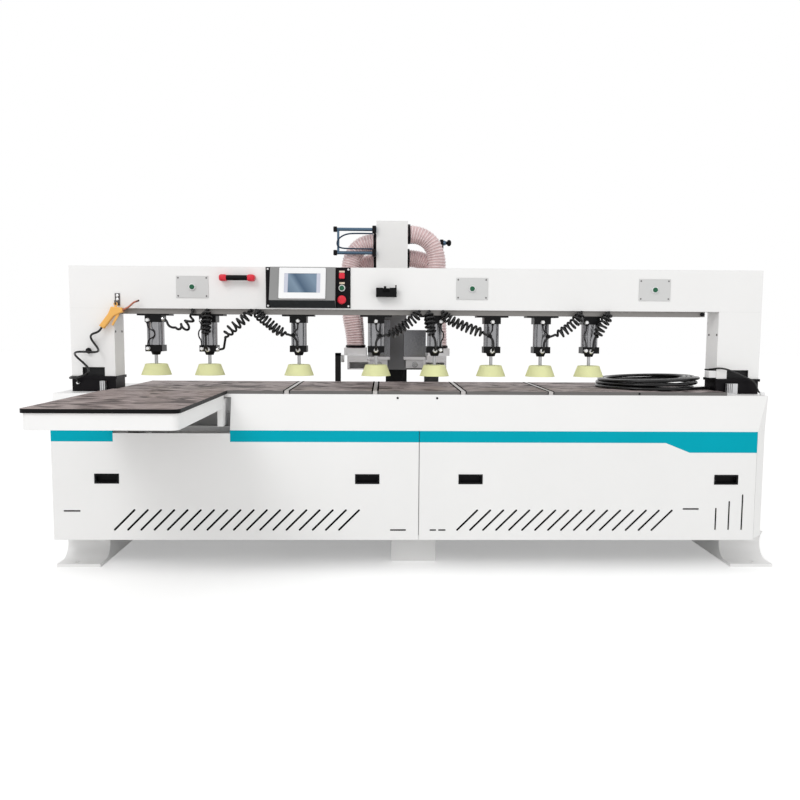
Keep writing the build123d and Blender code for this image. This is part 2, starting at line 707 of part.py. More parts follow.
def side_table_frame():
    """The apron, its cross ribs and the legs that hang it on the base frame."""
    left = SIDE_LEFT + SIDE_OVERHANG
    right = SIDE_LEFT + SIDE_WIDTH - SIDE_OVERHANG
    front = FRONT - SIDE_REACH + SIDE_OVERHANG
    z = (DECK_TOP - SIDE_APRON, DECK_TOP)
    wall = SIDE_APRON_WALL
    back = FRONT - SIDE_TABLE_GAP
    shell = rounded_front(left, right, front, back, z)
    room = rounded_front(left + wall, right - wall, front + wall, back - SIDE_RIB, (z[0] - 1, z[1] + 1))
    ribs = []
    for share in (1 / 3, 2 / 3):
        y = front + share * (FRONT - front)
        ribs.append(block((left + 1, right - 1), (y, y + SIDE_RIB), z))
    arm_top = RECESS_TOP - SIDE_APRON_WALL
    arm_y = (back - SIDE_RIB, TUBE_FRONT)
    for x in (RECESS_LEFT + SIDE_LEG, RECESS_RIGHT - 2 * SIDE_LEG):
        ribs.append(block((x, x + SIDE_LEG), arm_y, (z[0], arm_top)))
        ribs.append(block((x, x + SIDE_LEG), arm_y, (z[0] - SIDE_LEG_DROP, z[0] + 1)))
    return fused([shell - room] + ribs)


def side_table_top():
    right = SIDE_LEFT + SIDE_WIDTH
    back = TABLE_FRONT - STRIP_GAP
    return rounded_front(SIDE_LEFT, right, FRONT - SIDE_REACH, back, (DECK_TOP, TABLE_HEIGHT))


# Portal


def portal_frame():
    """Steel columns on the deck and the tube that joins them inside the beam."""
    y = (BEAM_MIDDLE - PORTAL_TUBE_Y / 2, BEAM_MIDDLE + PORTAL_TUBE_Y / 2)
    beam_bottom = BEAM_BOTTOM + SHEET
    pieces = []
    for side in (-1, 1):
        x = (side * COLUMN_CENTRE - PORTAL_TUBE_X / 2, side * COLUMN_CENTRE + PORTAL_TUBE_X / 2)
        pieces.append(tube_shell(x, y, (DECK_TOP, beam_bottom + BEAM_TUBE_HEIGHT), PORTAL_TUBE_WALL, 2))
    reach = COLUMN_CENTRE - PORTAL_TUBE_X / 2
    beam_z = (beam_bottom, beam_bottom + BEAM_TUBE_HEIGHT)
    pieces.append(tube_shell((-reach, reach), y, beam_z, PORTAL_TUBE_WALL, 0))
    return pieces


def beam_cover():
    """A folded sheet box over the beam, open below where the columns enter."""
    outer = block((-HALF, HALF), (BEAM_FRONT, BEAM_BACK), (BEAM_BOTTOM, BEAM_TOP))
    inner = block(
        (SHEET - HALF, HALF - SHEET),
        (BEAM_FRONT + SHEET, BEAM_BACK - SHEET),
        (BEAM_BOTTOM + SHEET, BEAM_TOP - SHEET),
    )
    shell = outer - inner
    hole_y = (BEAM_FRONT + SHEET, BEAM_BACK - SHEET)
    for side in (-1, 1):
        x = sorted((side * (COLUMN_INNER + SHEET), side * (HALF - SHEET)))
        shell = shell - block(x, hole_y, (BEAM_BOTTOM - 1, BEAM_BOTTOM + SHEET + 1))
    return shell


def column_covers():
    covers = []
    for side in (-1, 1):
        x = sorted((side * COLUMN_INNER, side * HALF))
        shell = tube_shell(x, (BEAM_FRONT, BEAM_BACK), (COLUMN_BOTTOM, BEAM_BOTTOM), SHEET, 2)
        centre = side * COLUMN_CENTRE
        opening = block(
            (centre - CUTOUT_WIDTH / 2, centre + CUTOUT_WIDTH / 2),
            (BEAM_FRONT - 1, BEAM_FRONT + SHEET + 1),
            (COLUMN_BOTTOM - 1, COLUMN_BOTTOM + CUTOUT_HEIGHT),
        )
        covers.append(shell - opening)
    return covers


def column_boots():
    """Black boots round the column feet, and the stop blocks in front of them."""
    pieces = []
    for side, stop in ((-1, STOP_LEFT), (1, STOP_RIGHT)):
        x = side * COLUMN_CENTRE
        body = centred(x, BEAM_MIDDLE, DECK_TOP, COLUMN_WIDTH, BEAM_DEPTH, COLUMN_BOTTOM - DECK_TOP)
        flange_width = COLUMN_WIDTH + 2 * BOOT_FLANGE
        flange_depth = BEAM_DEPTH + 2 * BOOT_FLANGE
        flange = centred(x, BEAM_MIDDLE, COLUMN_BOTTOM - BOOT_FLANGE_HEIGHT, flange_width, flange_depth,
                         BOOT_FLANGE_HEIGHT)
        room = centred(x, BEAM_MIDDLE, DECK_TOP - 1, PORTAL_TUBE_X + 1, PORTAL_TUBE_Y + 1,
                       COLUMN_BOTTOM - DECK_TOP + 2)
        pieces.append(fused([body, flange]) - room)
        y = (BEAM_FRONT - BOOT_FLANGE - STOP_DEPTH, BEAM_FRONT - BOOT_FLANGE)
        pieces.append(block(stop, y, (DECK_TOP, DECK_TOP + STOP_HEIGHT)))
    return pieces


# Press cylinders


def clamp_rail():
    y = (BEAM_MIDDLE - RAIL_DEPTH / 2, BEAM_MIDDLE + RAIL_DEPTH / 2)
    bar = block((-COLUMN_INNER, COLUMN_INNER - RAIL_END_GAP), y, (RAIL_BOTTOM, BEAM_BOTTOM))
    slot_y = (BEAM_MIDDLE - RAIL_SLOT_WIDTH / 2, BEAM_MIDDLE + RAIL_SLOT_WIDTH / 2)
    return bar - block((-HALF, HALF), slot_y, (RAIL_BOTTOM - 1, RAIL_BOTTOM + RAIL_SLOT_DEPTH))


def cylinder_caps():
    """For each cylinder the rail plate with the upper cap, and the lower cap with its gland."""
    pieces = []
    for x in PRESS_X:
        width, depth, height = PRESS_PLATE
        plate = centred(x, BEAM_MIDDLE, CAP_TOP, width, depth, height)
        upper = centred(x, BEAM_MIDDLE, BARREL_TOP, CAP_SIZE, CAP_SIZE, UPPER_CAP)
        lower = centred(x, BEAM_MIDDLE, LOWER_CAP_BOTTOM, CAP_SIZE, CAP_SIZE, LOWER_CAP)
        middle = LOWER_CAP_BOTTOM - GLAND_HEIGHT / 2
        gland = Pos(x, BEAM_MIDDLE, middle) * Cone(GLAND_NOSE_RADIUS, GLAND_TOP_RADIUS, GLAND_HEIGHT)
        bore_low = (x, BEAM_MIDDLE, GLAND_BOTTOM - 1)
        bore_high = (x, BEAM_MIDDLE, BARREL_BOTTOM + 1)
        bore = rod(bore_low, bore_high, ROD_RADIUS + SLIDING_GAP)
        pieces.append(fused([plate, upper]))
        pieces.append(fused([lower, gland]) - bore)
    return pieces


def cylinder_barrels():
    """The barrels and the four tie rods beside each."""
    pieces = []
    for x in PRESS_X:
        foot = (x, BEAM_MIDDLE, BARREL_BOTTOM)
        head = (x, BEAM_MIDDLE, BARREL_TOP)
        pieces.append(rod(foot, head, BARREL_RADIUS) - rod(foot, head, BORE_RADIUS))
        for side in (-1, 1):
            for row in (-1, 1):
                tie_x = x + side * TIE_ROD_SPACING / 2
                tie_y = BEAM_MIDDLE + row * TIE_ROD_SPACING / 2
                pieces.append(rod((tie_x, tie_y, BARREL_BOTTOM), (tie_x, tie_y, BARREL_TOP), TIE_ROD_RADIUS))
    return pieces


def press_foot(x):
    """A piston rod and the soft pad on its end."""
    piston_top = BARREL_TOP - PISTON_TOP_GAP
    top = (x, BEAM_MIDDLE, piston_top)
    piston = rod((x, BEAM_MIDDLE, piston_top - PISTON_HEIGHT), top, BORE_RADIUS - SLIDING_GAP)
    stem = rod((x, BEAM_MIDDLE, PAD_TOP), top, ROD_RADIUS)
    profile = [
        Line((0, PAD_BOTTOM), (PAD_RADIUS, PAD_BOTTOM)),
        Line((PAD_RADIUS, PAD_BOTTOM), (PAD_TOP_RADIUS + PAD_EDGE, PAD_TOP - PAD_EDGE)),
        TangentArc((PAD_TOP_RADIUS, PAD_TOP), (PAD_TOP_RADIUS + PAD_EDGE, PAD_TOP - PAD_EDGE), tangent=(1, 0)),
        Line((PAD_TOP_RADIUS, PAD_TOP), (0, PAD_TOP)),
        Line((0, PAD_TOP), (0, PAD_BOTTOM)),
    ]
    half_plane = Plane(origin=(0, 0, 0), x_dir=(1, 0, 0), z_dir=(0, -1, 0))
    pad = revolve(half_plane * make_face(Curve() + profile), Axis.Z)
    return fused([piston, stem]), pad.moved(Location((x, BEAM_MIDDLE, 0)))


# Wound hoses and cable


def route_point(points, t):
    """A point on the smooth quadratic curve that a list of points controls, for t from 0 to 1."""
    spans = len(points) - 2
    span = min(int(t * spans), spans - 1)
    u = t * spans - span
    start = points[0] if span == 0 else (points[span] + points[span + 1]) * 0.5
    end = points[-1] if span == spans - 1 else (points[span + 1] + points[span + 2]) * 0.5
    return start * (1 - u) ** 2 + points[span + 1] * (2 * u * (1 - u)) + end * u ** 2


def curl_path(route, radius, turns, side, ease=1, wound=1):
    """A function of t from 0 to 1 that winds round the first share of a route, drawn in at both its ends."""
    points = [Vector(*point) for point in route]
    steps = 240
    frames = []
    normal = Vector(*side)
    for index in range(steps + 1):
        t = index / steps
        ahead = route_point(points, min(1, t + 0.002)) - route_point(points, max(0, t - 0.002))
        tangent = ahead.normalized()
        normal = (normal - tangent * normal.dot(tangent)).normalized()
        frames.append((normal, tangent.cross(normal)))

    def place(t):
        index = min(int(t * steps), steps - 1)
        share = t * steps - index
        first = frames[index][0] * (1 - share) + frames[index + 1][0] * share
        second = frames[index][1] * (1 - share) + frames[index + 1][1] * share
        done = min(1, t / wound)
        swell = math.sin(min(1, done * turns / ease, (1 - done) * turns / ease) * math.pi / 2) ** 2
        angle = 2 * math.pi * turns * done
        offset = first * math.cos(angle) + second * math.sin(angle)
        return route_point(points, t) + offset * (radius * swell)

    return place


def biarc(start, leave, end, arrive):
    """Two tangent arcs from one point and direction to another."""
    chord = end - start
    both = leave + arrive
    bend = 2 * (1 - leave.dot(arrive))
    along = chord.dot(both)
    if bend < 1e-6:
        reach = chord.dot(chord) / (2 * along)
    else:
        reach = (math.sqrt(along ** 2 + bend * chord.dot(chord)) - along) / bend
    middle = (start + end + (leave - arrive) * reach) * 0.5
    through = (end - arrive * reach - start - leave * reach).normalized()
    edges = []
    for a, direction, b in ((start, leave, middle), (middle, through, end)):
        if direction.cross((b - a).normalized()).length < 1e-5:
            edges.append(Edge.make_line(a, b))
        else:
            edges.append(Edge.make_tangent_arc(a, direction, b))
    return edges


def wound_tube(place, stations, diameter, first_end, last_end, name):
    """A tube along tangent arcs through a path's stations, straight for one diameter at each end."""
    step = 1e-4
    points = [place(t) for t in stations]
    leaves = []
    for t in stations:
        leaves.append((place(min(1, t + step)) - place(max(0, t - step))).normalized())
    leaves[0] = Vector(*first_end)
    leaves[-1] = Vector(*last_end)
    points = [points[0]] + [points[0] + leaves[0] * diameter] + points[1:-1]
    points += [place(stations[-1]) - leaves[-1] * diameter, place(stations[-1])]
    leaves = [leaves[0]] + leaves + [leaves[-1]]
    edges = [Edge.make_line(points[0], points[1])]
    for index in range(1, len(points) - 2):
        edges += biarc(points[index], leaves[index], points[index + 1], leaves[index + 1])
    edges.append(Edge.make_line(points[-2], points[-1]))
    path = Wire(edges)
    section = Plane(origin=points[0], z_dir=leaves[0]) * Circle(diameter / 2)
    tube = sweep(section, path=path)
    length = sum(edge.length for edge in edges)
    print(f"{name}: {length:.0f} mm long, least gap {least_gap(place, length, diameter):.2f} mm")
    return tube


def least_gap(place, length, diameter):
    """The least clear space between two turns of a wound tube, measured on points."""
    count = round(3 * length / diameter)
    points = [tuple(place(index / count)) for index in range(count + 1)]
    travelled = [0]
    for index in range(count):
        travelled.append(travelled[-1] + math.dist(points[index], points[index + 1]))
    cell = 2 * diameter
    cells = {}
    for index, point in enumerate(points):
        cells.setdefault(tuple(int(value // cell) for value in point), []).append(index)
    steps = (-1, 0, 1)
    least = cell
    for (i, j, k), indices in cells.items():
        near = []
        for di in steps:
            for dj in steps:
                for dk in steps:
                    near += cells.get((i + di, j + dj, k + dk), [])
        for index in indices:
            for other in near:
                if travelled[other] - travelled[index] > 2.2 * diameter:
                    least = min(least, math.dist(points[index], points[other]))
    return least - diameter


def air_hose(name, start_x, corners, end_cap, end_side, end_z, turns):
    """A curly hose from the beam's underside, with a plain tail into a cap's side, or its front for side 0."""
    end = (PRESS_X[end_cap] + end_side * CAP_SIZE / 2, BEAM_MIDDLE - AIR_HOSE_OFFSET, end_z)
    arrive = (-end_side, 0, 0)
    if end_side == 0:
        end = (PRESS_X[end_cap], BEAM_MIDDLE - CAP_SIZE / 2, end_z)
        arrive = (0, 1, 0)
    route = [(start_x * LENGTH_SHARE, BEAM_FRONT + HOSE_SETBACK, BEAM_BOTTOM)]
    route += [(x * LENGTH_SHARE, BEAM_MIDDLE - out, RAIL_BOTTOM - drop) for x, out, drop in corners]
    route.append(end)
    wound = 1 - TAIL_SPANS / (len(route) - 2)
    place = curl_path(route, CURL_RADIUS, turns, (0, 1, 0), CURL_EASE, wound)
    count = turns * CURL_STEPS
    stations = [wound * index / count for index in range(CURL_LEAD, count - CURL_LEAD + 1)]
    stations += [wound + (1 - wound) * index / TAIL_STEPS for index in range(1, TAIL_STEPS)]
    return wound_tube(place, [0] + stations + [1], AIR_TUBE, (0, 0, -1), arrive, name)


UPPER_PORT_Z = BARREL_TOP + UPPER_CAP / 2
LOWER_PORT_Z = LOWER_CAP_BOTTOM + LOWER_CAP / 3
AIR_HOSES = (
    ("air hose 1", -1042, ((-1040, 70, 6), (-1062, 78, 56), (-1112, 68, 66), (-1158, 46, 60), (-1172, 30, 23)),
     0, 1, UPPER_PORT_Z, 4),
    ("air hose 2", -975, ((-975, 74, -2), (-975, 86, 38), (-979, 84, 88), (-980, 80, 112), (-980, 80, 164)),
     1, 0, LOWER_PORT_Z, 8),
    ("air hose 3", -748, ((-742, 74, 2), (-690, 86, 38), (-640, 84, 82), (-561, 80, 102), (-561, 80, 164)),
     2, 0, LOWER_PORT_Z, 11),
    ("air hose 4", 2, ((-4, 74, 2), (-64, 86, 46), (-118, 84, 84), (-198, 80, 102), (-198, 80, 164)),
     3, 0, LOWER_PORT_Z, 11),
    ("air hose 5", 48, ((48, 74, -2), (48, 86, 38), (58, 84, 86), (78, 80, 112), (78, 80, 164)),
     4, 0, LOWER_PORT_Z, 8),
    ("air hose 6", 112, ((116, 74, 8), (186, 86, 42), (272, 84, 74), (346, 80, 98), (346, 80, 164)),
     5, 0, LOWER_PORT_Z, 12),
    ("air hose 7", 756, ((750, 74, 2), (706, 86, 44), (660, 84, 80), (581, 80, 102), (581, 80, 164)),
     6, 0, LOWER_PORT_Z, 9),
    ("air hose 8", 884, ((882, 74, -2), (852, 86, 38), (826, 84, 88), (812, 80, 112), (812, 80, 164)),
     7, 0, LOWER_PORT_Z, 8),
    ("air hose 9", -774, ((-780, 74, 2), (-828, 86, 42), (-886, 76, 86), (-902, 48, 146), (-908, 30, 164)),
     1, 1, LOWER_PORT_Z, 8),
)


def gun_hose():
    """The stretched curly hose from the gun's handle to the left column boot."""
    end = (-COLUMN_CENTRE - GUN_HOSE_END_X, BEAM_FRONT, DECK_TOP + GUN_HOSE_END_RISE)
    leave = GUN_HANDLE_DIRECTION
    handle_x, handle_z = GUN_HANDLE_END
    drop = (handle_x + leave[0] * GUN_HOSE_DROP, GUN_Y - GUN_HOSE_LEAN, handle_z + leave[1] * GUN_HOSE_DROP)
    route = [(handle_x, GUN_Y, handle_z), drop]
    for right, out, rise in GUN_HOSE_CORNERS:
        route.append((end[0] + right, BEAM_FRONT - out, end[2] + rise))
    route.append(end)
    place = curl_path(route, HOSE_SWELL, GUN_HOSE_TURNS, (1, 0, 0))
    count = GUN_HOSE_TURNS * CURL_STEPS
    stations = [index / count for index in range(count + 1)]
    return wound_tube(place, stations, HOSE_TUBE, (leave[0], 0, leave[1]), (0, 1, 0), "gun hose")


def coil_place(t):
    """A point of the power cable's coil, wound in layers that spiral in and out."""
    layer_turns = COIL_LOOPS + 0.5
    turns = COIL_LAYERS * layer_turns - 0.5
    done = t * turns
    layer = min(int(done / layer_turns), COIL_LAYERS - 1)
    within = done - layer * layer_turns
    share = min(within, COIL_LOOPS) / COIL_LOOPS
    inward = share if layer % 2 == 0 else 1 - share
    climb = max(0, within - COIL_LOOPS) / 0.5
    radius = COIL_RADIUS - COIL_STEP * COIL_LOOPS * inward
    height = (layer + climb * climb * (3 - 2 * climb)) * COIL_RISE
    angle = COIL_START - 2 * math.pi * done
    x = COIL_X + radius * math.cos(angle)
    y = FRONT + COIL_Y + radius * math.sin(angle)
    return Vector(x, y, CABLE_LOW + height)


CABLE_LOW = TABLE_HEIGHT + CABLE_REST_GAP + CABLE / 2
LEAD_START = (COLUMN_INNER, BEAM_MIDDLE, CABLE_LOW)
LEAD_BEND = (COLUMN_INNER - LEAD_OUT, BEAM_MIDDLE, CABLE_LOW)


def coil_start_angle():
    """The angle at which a straight lead from the bend meets the outer turn."""
    across = LEAD_BEND[0] - COIL_X
    along = LEAD_BEND[1] - FRONT - COIL_Y
    return math.atan2(along, across) - math.acos(COIL_RADIUS / math.hypot(across, along))


COIL_START = coil_start_angle()


def power_cable_coil():
    turns = COIL_LAYERS * (COIL_LOOPS + 0.5) - 0.5
    count = round(turns * 4)
    stations = [index / count for index in range(count + 1)]
    step = 1e-5
    leave = (coil_place(0) - Vector(*LEAD_BEND)).normalized()
    arrive = (coil_place(1) - coil_place(1 - step)).normalized()
    return wound_tube(coil_place, stations, CABLE, tuple(leave), tuple(arrive), "power cable coil")


def power_cable_lead():
    """The lead from the right column boot to the coil."""
    route = [Vector(*LEAD_START), Vector(*LEAD_BEND), coil_place(0)]
    first = route[1] - route[0]
    second = route[2] - route[1]
    turn = math.radians(first.get_angle(second))
    radius = 0.45 * min(first.length, second.length) / math.tan(turn / 2)
    print(f"power cable lead: bend radius {radius:.0f} mm")
    path = FilletPolyline(*route, radius=radius)
    section = Plane(origin=route[0], z_dir=first) * Circle(CABLE / 2)
    return sweep(section, path=path)


# Controls on the beam


def ring(x, z, y, outer, inner, height):
    """A collar on a plate that faces the operator."""
    return rod((x, y, z), (x, y - height, z), outer) - rod((x, y + 1, z), (x, y - height - 1, z), inner)


def operator_panel():
    """The black plate with its start ring, stop collar and pilot lamp."""
    y = (BEAM_FRONT - PANEL_PLATE, BEAM_FRONT)
    plate = block((PANEL_LEFT, PANEL_RIGHT), y, (PANEL_LOW, BEAM_TOP))
    for z, radius in ((PANEL_START_Z, BUTTON_RADIUS), (STOP_Z, STOP_STEM_RADIUS)):
        plate = plate - rod((CONTROL_X, y[0] - 1, z), (CONTROL_X, y[1] + 1, z), radius + SLIDING_GAP)
    start_ring = ring(CONTROL_X, PANEL_START_Z, y[0], RING_RADIUS, BUTTON_RADIUS + SLIDING_GAP, RING_HEIGHT)
    collar = ring(CONTROL_X, STOP_Z, y[0], RING_RADIUS, STOP_STEM_RADIUS + SLIDING_GAP, STOP_COLLAR_HEIGHT)
    half = LAMP_SIZE / 2
    lamp_z = (LAMP_Z - half, LAMP_Z + half)
    lamp = block((CONTROL_X - half, CONTROL_X + half), (y[0] - LAMP_HEIGHT, y[0]), lamp_z)
    lamp = fillet(lamp.edges().filter_by(Axis.Y), LAMP_CORNER)
    lamp = fillet(lamp.edges().group_by(Axis.Y)[0], LAMP_EDGE)
    return plate, start_ring, collar, lamp


def housing_profile():
    """The housing's (y, z) outline, from the plate out to the ridge and back."""
    face = BEAM_FRONT - PANEL_PLATE
    ridge = (face - HOUSING_RIDGE, HOUSING_RIDGE_Z)
    return [(face, PANEL_LOW), (face, BEAM_TOP), (face - HOUSING_TOP, BEAM_TOP), ridge]


def operator_housing():
    return plate_yz(housing_profile(), (HOUSING_LEFT, HOUSING_RIGHT))


def display_plane():
    """The plane of the housing's sloped face, at its middle."""
    top, ridge = housing_profile()[2:]
    middle = ((HOUSING_LEFT + HOUSING_RIGHT) / 2, (top[0] + ridge[0]) / 2, (top[1] + ridge[1]) / 2)
    along = Vector(0, top[0] - ridge[0], top[1] - ridge[1])
    return Plane(origin=middle, x_dir=(1, 0, 0), z_dir=Vector(1, 0, 0).cross(along))


def touch_display():
    """The white bezel and the screen set into it."""
    plane = display_plane()
    foot = (Align.CENTER, Align.CENTER, Align.MIN)
    bezel = plane * Box(DISPLAY_WIDTH, DISPLAY_HEIGHT, DISPLAY_THICK, align=foot)
    bezel = fillet(bezel.edges().filter_by(Axis(plane.origin, plane.z_dir)), 5)
    raise_by = Location((0, SCREEN_RAISE, DISPLAY_THICK - SCREEN_DEPTH))
    pocket = plane * raise_by * Box(SCREEN_WIDTH, SCREEN_HEIGHT, SCREEN_DEPTH + 1, align=foot)
    glass = plane * raise_by * Box(SCREEN_WIDTH, SCREEN_HEIGHT, SCREEN_DEPTH / 2, align=foot)
    return bezel - pocket, glass


def button_plates():
    """Three grey plates, each with a ring for its start button."""
    width, height, thick = BUTTON_PLATE
    pieces = []
    for x in BUTTON_PLATE_X:
        y = (BEAM_FRONT - thick, BEAM_FRONT)
        z = (BUTTON_PLATE_Z - height / 2, BUTTON_PLATE_Z + height / 2)
        plate = block((x - width / 2, x + width / 2), y, z)
        room = BUTTON_RADIUS + SLIDING_GAP
        pieces.append(plate - rod((x, y[0] - 1, BUTTON_PLATE_Z), (x, y[1] + 1, BUTTON_PLATE_Z), room))
        pieces.append(ring(x, BUTTON_PLATE_Z, y[0], RING_RADIUS, room, RING_HEIGHT))
    return pieces


def push_button(x, z, plate):
    """A start button that stands proud of its ring and stops short of the beam cover."""
    face = BEAM_FRONT - plate - RING_HEIGHT - BUTTON_PROUD
    end = BEAM_FRONT - BUTTON_TRAVEL - BUTTON_END_GAP
    cap = rod((x, face, z), (x, end, z), BUTTON_RADIUS)
    return fillet(cap.edges().group_by(Axis.Y)[0], BUTTON_RADIUS / 6)


def stop_button():
    """The mushroom head and its stem."""
    collar_face = BEAM_FRONT - PANEL_PLATE - STOP_COLLAR_HEIGHT
    back = collar_face - STOP_GAP
    end = BEAM_FRONT - BUTTON_TRAVEL - BUTTON_END_GAP
    stem = rod((CONTROL_X, back - 1, STOP_Z), (CONTROL_X, end, STOP_Z), STOP_STEM_RADIUS)
    head = rod((CONTROL_X, back - STOP_HEAD_HEIGHT, STOP_Z), (CONTROL_X, back, STOP_Z), STOP_HEAD_RADIUS)
    head = fillet(head.edges().group_by(Axis.Y)[0], STOP_HEAD_HEIGHT / 2)
    return fused([head, stem])


def pull_handle():
    """A round grip on two feet."""
    y = BEAM_FRONT - HANDLE_STANDOFF
    half = HANDLE_LENGTH / 2
    grip = rod((HANDLE_X - half, y, HANDLE_Z), (HANDLE_X + half, y, HANDLE_Z), HANDLE_RADIUS)
    grip = fillet(grip.edges(), HANDLE_RADIUS / 3)
    pieces = [grip]
    for side in (-1, 1):
        x = HANDLE_X + side * (half - HANDLE_FOOT / 2 - HANDLE_RADIUS / 3)
        pieces.append(rod((x, y, HANDLE_Z), (x, BEAM_FRONT, HANDLE_Z), HANDLE_FOOT / 2))
    return fused(pieces)


def scanner_cradle():
    """A plastic holder with an open top and a slotted front."""
    x = (CRADLE_LEFT, CRADLE_LEFT + CRADLE_WIDTH)
    y = (BEAM_FRONT - CRADLE_DEPTH, BEAM_FRONT)
    z = (CRADLE_BOTTOM, CRADLE_BOTTOM + CRADLE_HEIGHT)
    body = block(x, y, z)
    body = fillet(body.edges().filter_by(Axis.Z).group_by(Axis.Y)[0], CRADLE_WALL * 2)
    pocket = block(
        (x[0] + CRADLE_WALL, x[1] - CRADLE_WALL),
        (y[0] + CRADLE_WALL, y[1] - CRADLE_WALL),
        (z[0] + CRADLE_WALL, z[1] + 1),
    )
    third = CRADLE_WIDTH / 3
    slot_z = (z[0] + CRADLE_HEIGHT / 2, z[1] + 1)
    slot = block((x[0] + third, x[1] - third), (y[0] - 1, y[0] + CRADLE_WALL + 1), slot_z)
    return body - pocket - slot


# Blow gun

GUN_Y = BEAM_FRONT - GUN_SETBACK


def from_hook(*points):
    """Places of (x, z) points given from the middle of the hook's wire."""
    return [(HOOK_X + x, HOOK_WIRE_Z + z) for x, z in points]


GUN_OUTLINE = from_hook(
    (-20, -14), (30, -18), (36, -38), (10, -48), (-10, -58), (-54, -114), (-76, -100), (-34, -46)
)
GUN_HANDLE_END = from_hook((-65, -107))[0]
GUN_HANDLE_DIRECTION = (-0.537, -0.8436)
TRIGGER_OUTLINE = from_hook((0, -41), (12, -41), (15, -52), (-14, -100), (-20, -97), (-1, -57))
TRIGGER_PIN = from_hook((6, -41))[0]
TRIGGER_SLOT = from_hook((-8, -68), (20, -31))
NOZZLE_ROUTE = from_hook((33, -28), (57, -16), (82, 6), (106, 15))
EYE_RADIUS = 9


def gun_hook():
    """A plate on the beam with a bent wire hook."""
    x = (HOOK_X - HOOK_WIDTH / 2, HOOK_X + HOOK_WIDTH / 2)
    plate = block(x, (BEAM_FRONT - HOOK_PLATE, BEAM_FRONT), (HOOK_BOTTOM, HOOK_BOTTOM + HOOK_HEIGHT))
    start = (HOOK_X, BEAM_FRONT - HOOK_PLATE / 2, HOOK_WIRE_Z)
    turn = (HOOK_X, BEAM_FRONT - HOOK_REACH, HOOK_WIRE_Z)
    tip = (HOOK_X, BEAM_FRONT - HOOK_REACH - HOOK_TIP * 0.4, HOOK_WIRE_Z + HOOK_TIP)
    path = FilletPolyline(start, turn, tip, radius=HOOK_WIRE * 2)
    wire = sweep(Plane(origin=start, z_dir=(0, -1, 0)) * Circle(HOOK_WIRE), path=path)
    return fused([plate, wire])


def blow_gun():
    """The gun's body with its hanging eye, and the nozzle tube."""
    y = (GUN_Y - GUN_THICKNESS / 2, GUN_Y + GUN_THICKNESS / 2)
    body = plate_xz(GUN_OUTLINE, y)
    body = fillet(body.edges().filter_by(Axis.Y, reverse=True), GUN_EDGE)
    eye_y = (GUN_Y - GUN_EYE / 2, GUN_Y + GUN_EYE / 2)
    eye_z = HOOK_WIRE_Z - GUN_EYE_DROP
    eye = rod((HOOK_X, eye_y[0], eye_z), (HOOK_X, eye_y[1], eye_z), EYE_RADIUS)
    half = GUN_NECK / 2
    neck = block((HOOK_X - half, HOOK_X + half), eye_y, (HOOK_WIRE_Z - GUN_NECK_DROP, eye_z - GUN_EYE_DROP))
    hole = rod((HOOK_X, eye_y[0] - 1, eye_z), (HOOK_X, eye_y[1] + 1, eye_z), GUN_EYE_HOLE)
    slot_x, slot_z = zip(*TRIGGER_SLOT)
    reach = TRIGGER_THICKNESS / 2 + TRIGGER_SIDE_GAP
    slot = block(slot_x, (GUN_Y - reach, GUN_Y + reach), slot_z)
    pin_x, pin_z = TRIGGER_PIN
    pin = rod((pin_x, y[0], pin_z), (pin_x, y[1], pin_z), TRIGGER_PIN_RADIUS)
    shell = fused([body, eye, neck]) - hole - slot
    path = FilletPolyline(*[(x, GUN_Y, z) for x, z in NOZZLE_ROUTE], radius=NOZZLE_BEND)
    first = Vector(NOZZLE_ROUTE[1][0] - NOZZLE_ROUTE[0][0], 0, NOZZLE_ROUTE[1][1] - NOZZLE_ROUTE[0][1])
    start = (NOZZLE_ROUTE[0][0], GUN_Y, NOZZLE_ROUTE[0][1])
    nozzle = sweep(Plane(origin=start, z_dir=first) * Circle(NOZZLE_RADIUS), path=path)
    return fused([shell, pin]), nozzle - shell


def gun_trigger():
    """The lever under the gun's body, on a pin."""
    y = (GUN_Y - TRIGGER_THICKNESS / 2, GUN_Y + TRIGGER_THICKNESS / 2)
    lever = plate_xz(TRIGGER_OUTLINE, y)
    pin_x, pin_z = TRIGGER_PIN
    hole = rod((pin_x, y[0] - 1, pin_z), (pin_x, y[1] + 1, pin_z), TRIGGER_PIN_RADIUS + SLIDING_GAP)
    boss = rod((pin_x, y[0], pin_z), (pin_x, y[1], pin_z), TRIGGER_PIN_RADIUS + TRIGGER_BOSS)
    return fused([lever, boss]) - hole


# Guides and carriage


def x_guides():
    """Two guide rails and the toothed rack between them."""
    half = GUIDE_LENGTH / 2
    rails = []
    for y in RAIL_LINES:
        side = GUIDE_RAIL_WIDTH / 2
        rails.append(block((-half, half), (y - side, y + side), (RAIL_SEAT, RAIL_SEAT + GUIDE_RAIL_HEIGHT)))
    return rails + [gear_rack()]


RACK_REAR = RAIL_LINES[1] - BEARING_WIDTH / 2 - RACK_SETBACK
RACK_ROOT = RACK_REAR - RACK_BACK
PITCH_LINE = RACK_ROOT - 1.25 * RACK_MODULE
PINION_RADIUS = RACK_MODULE * PINION_TEETH / 2
PINION_Y = PITCH_LINE - PINION_RADIUS - MESH_GAP
PINION_X = HEAD_X + DRIVE_MOTOR_X


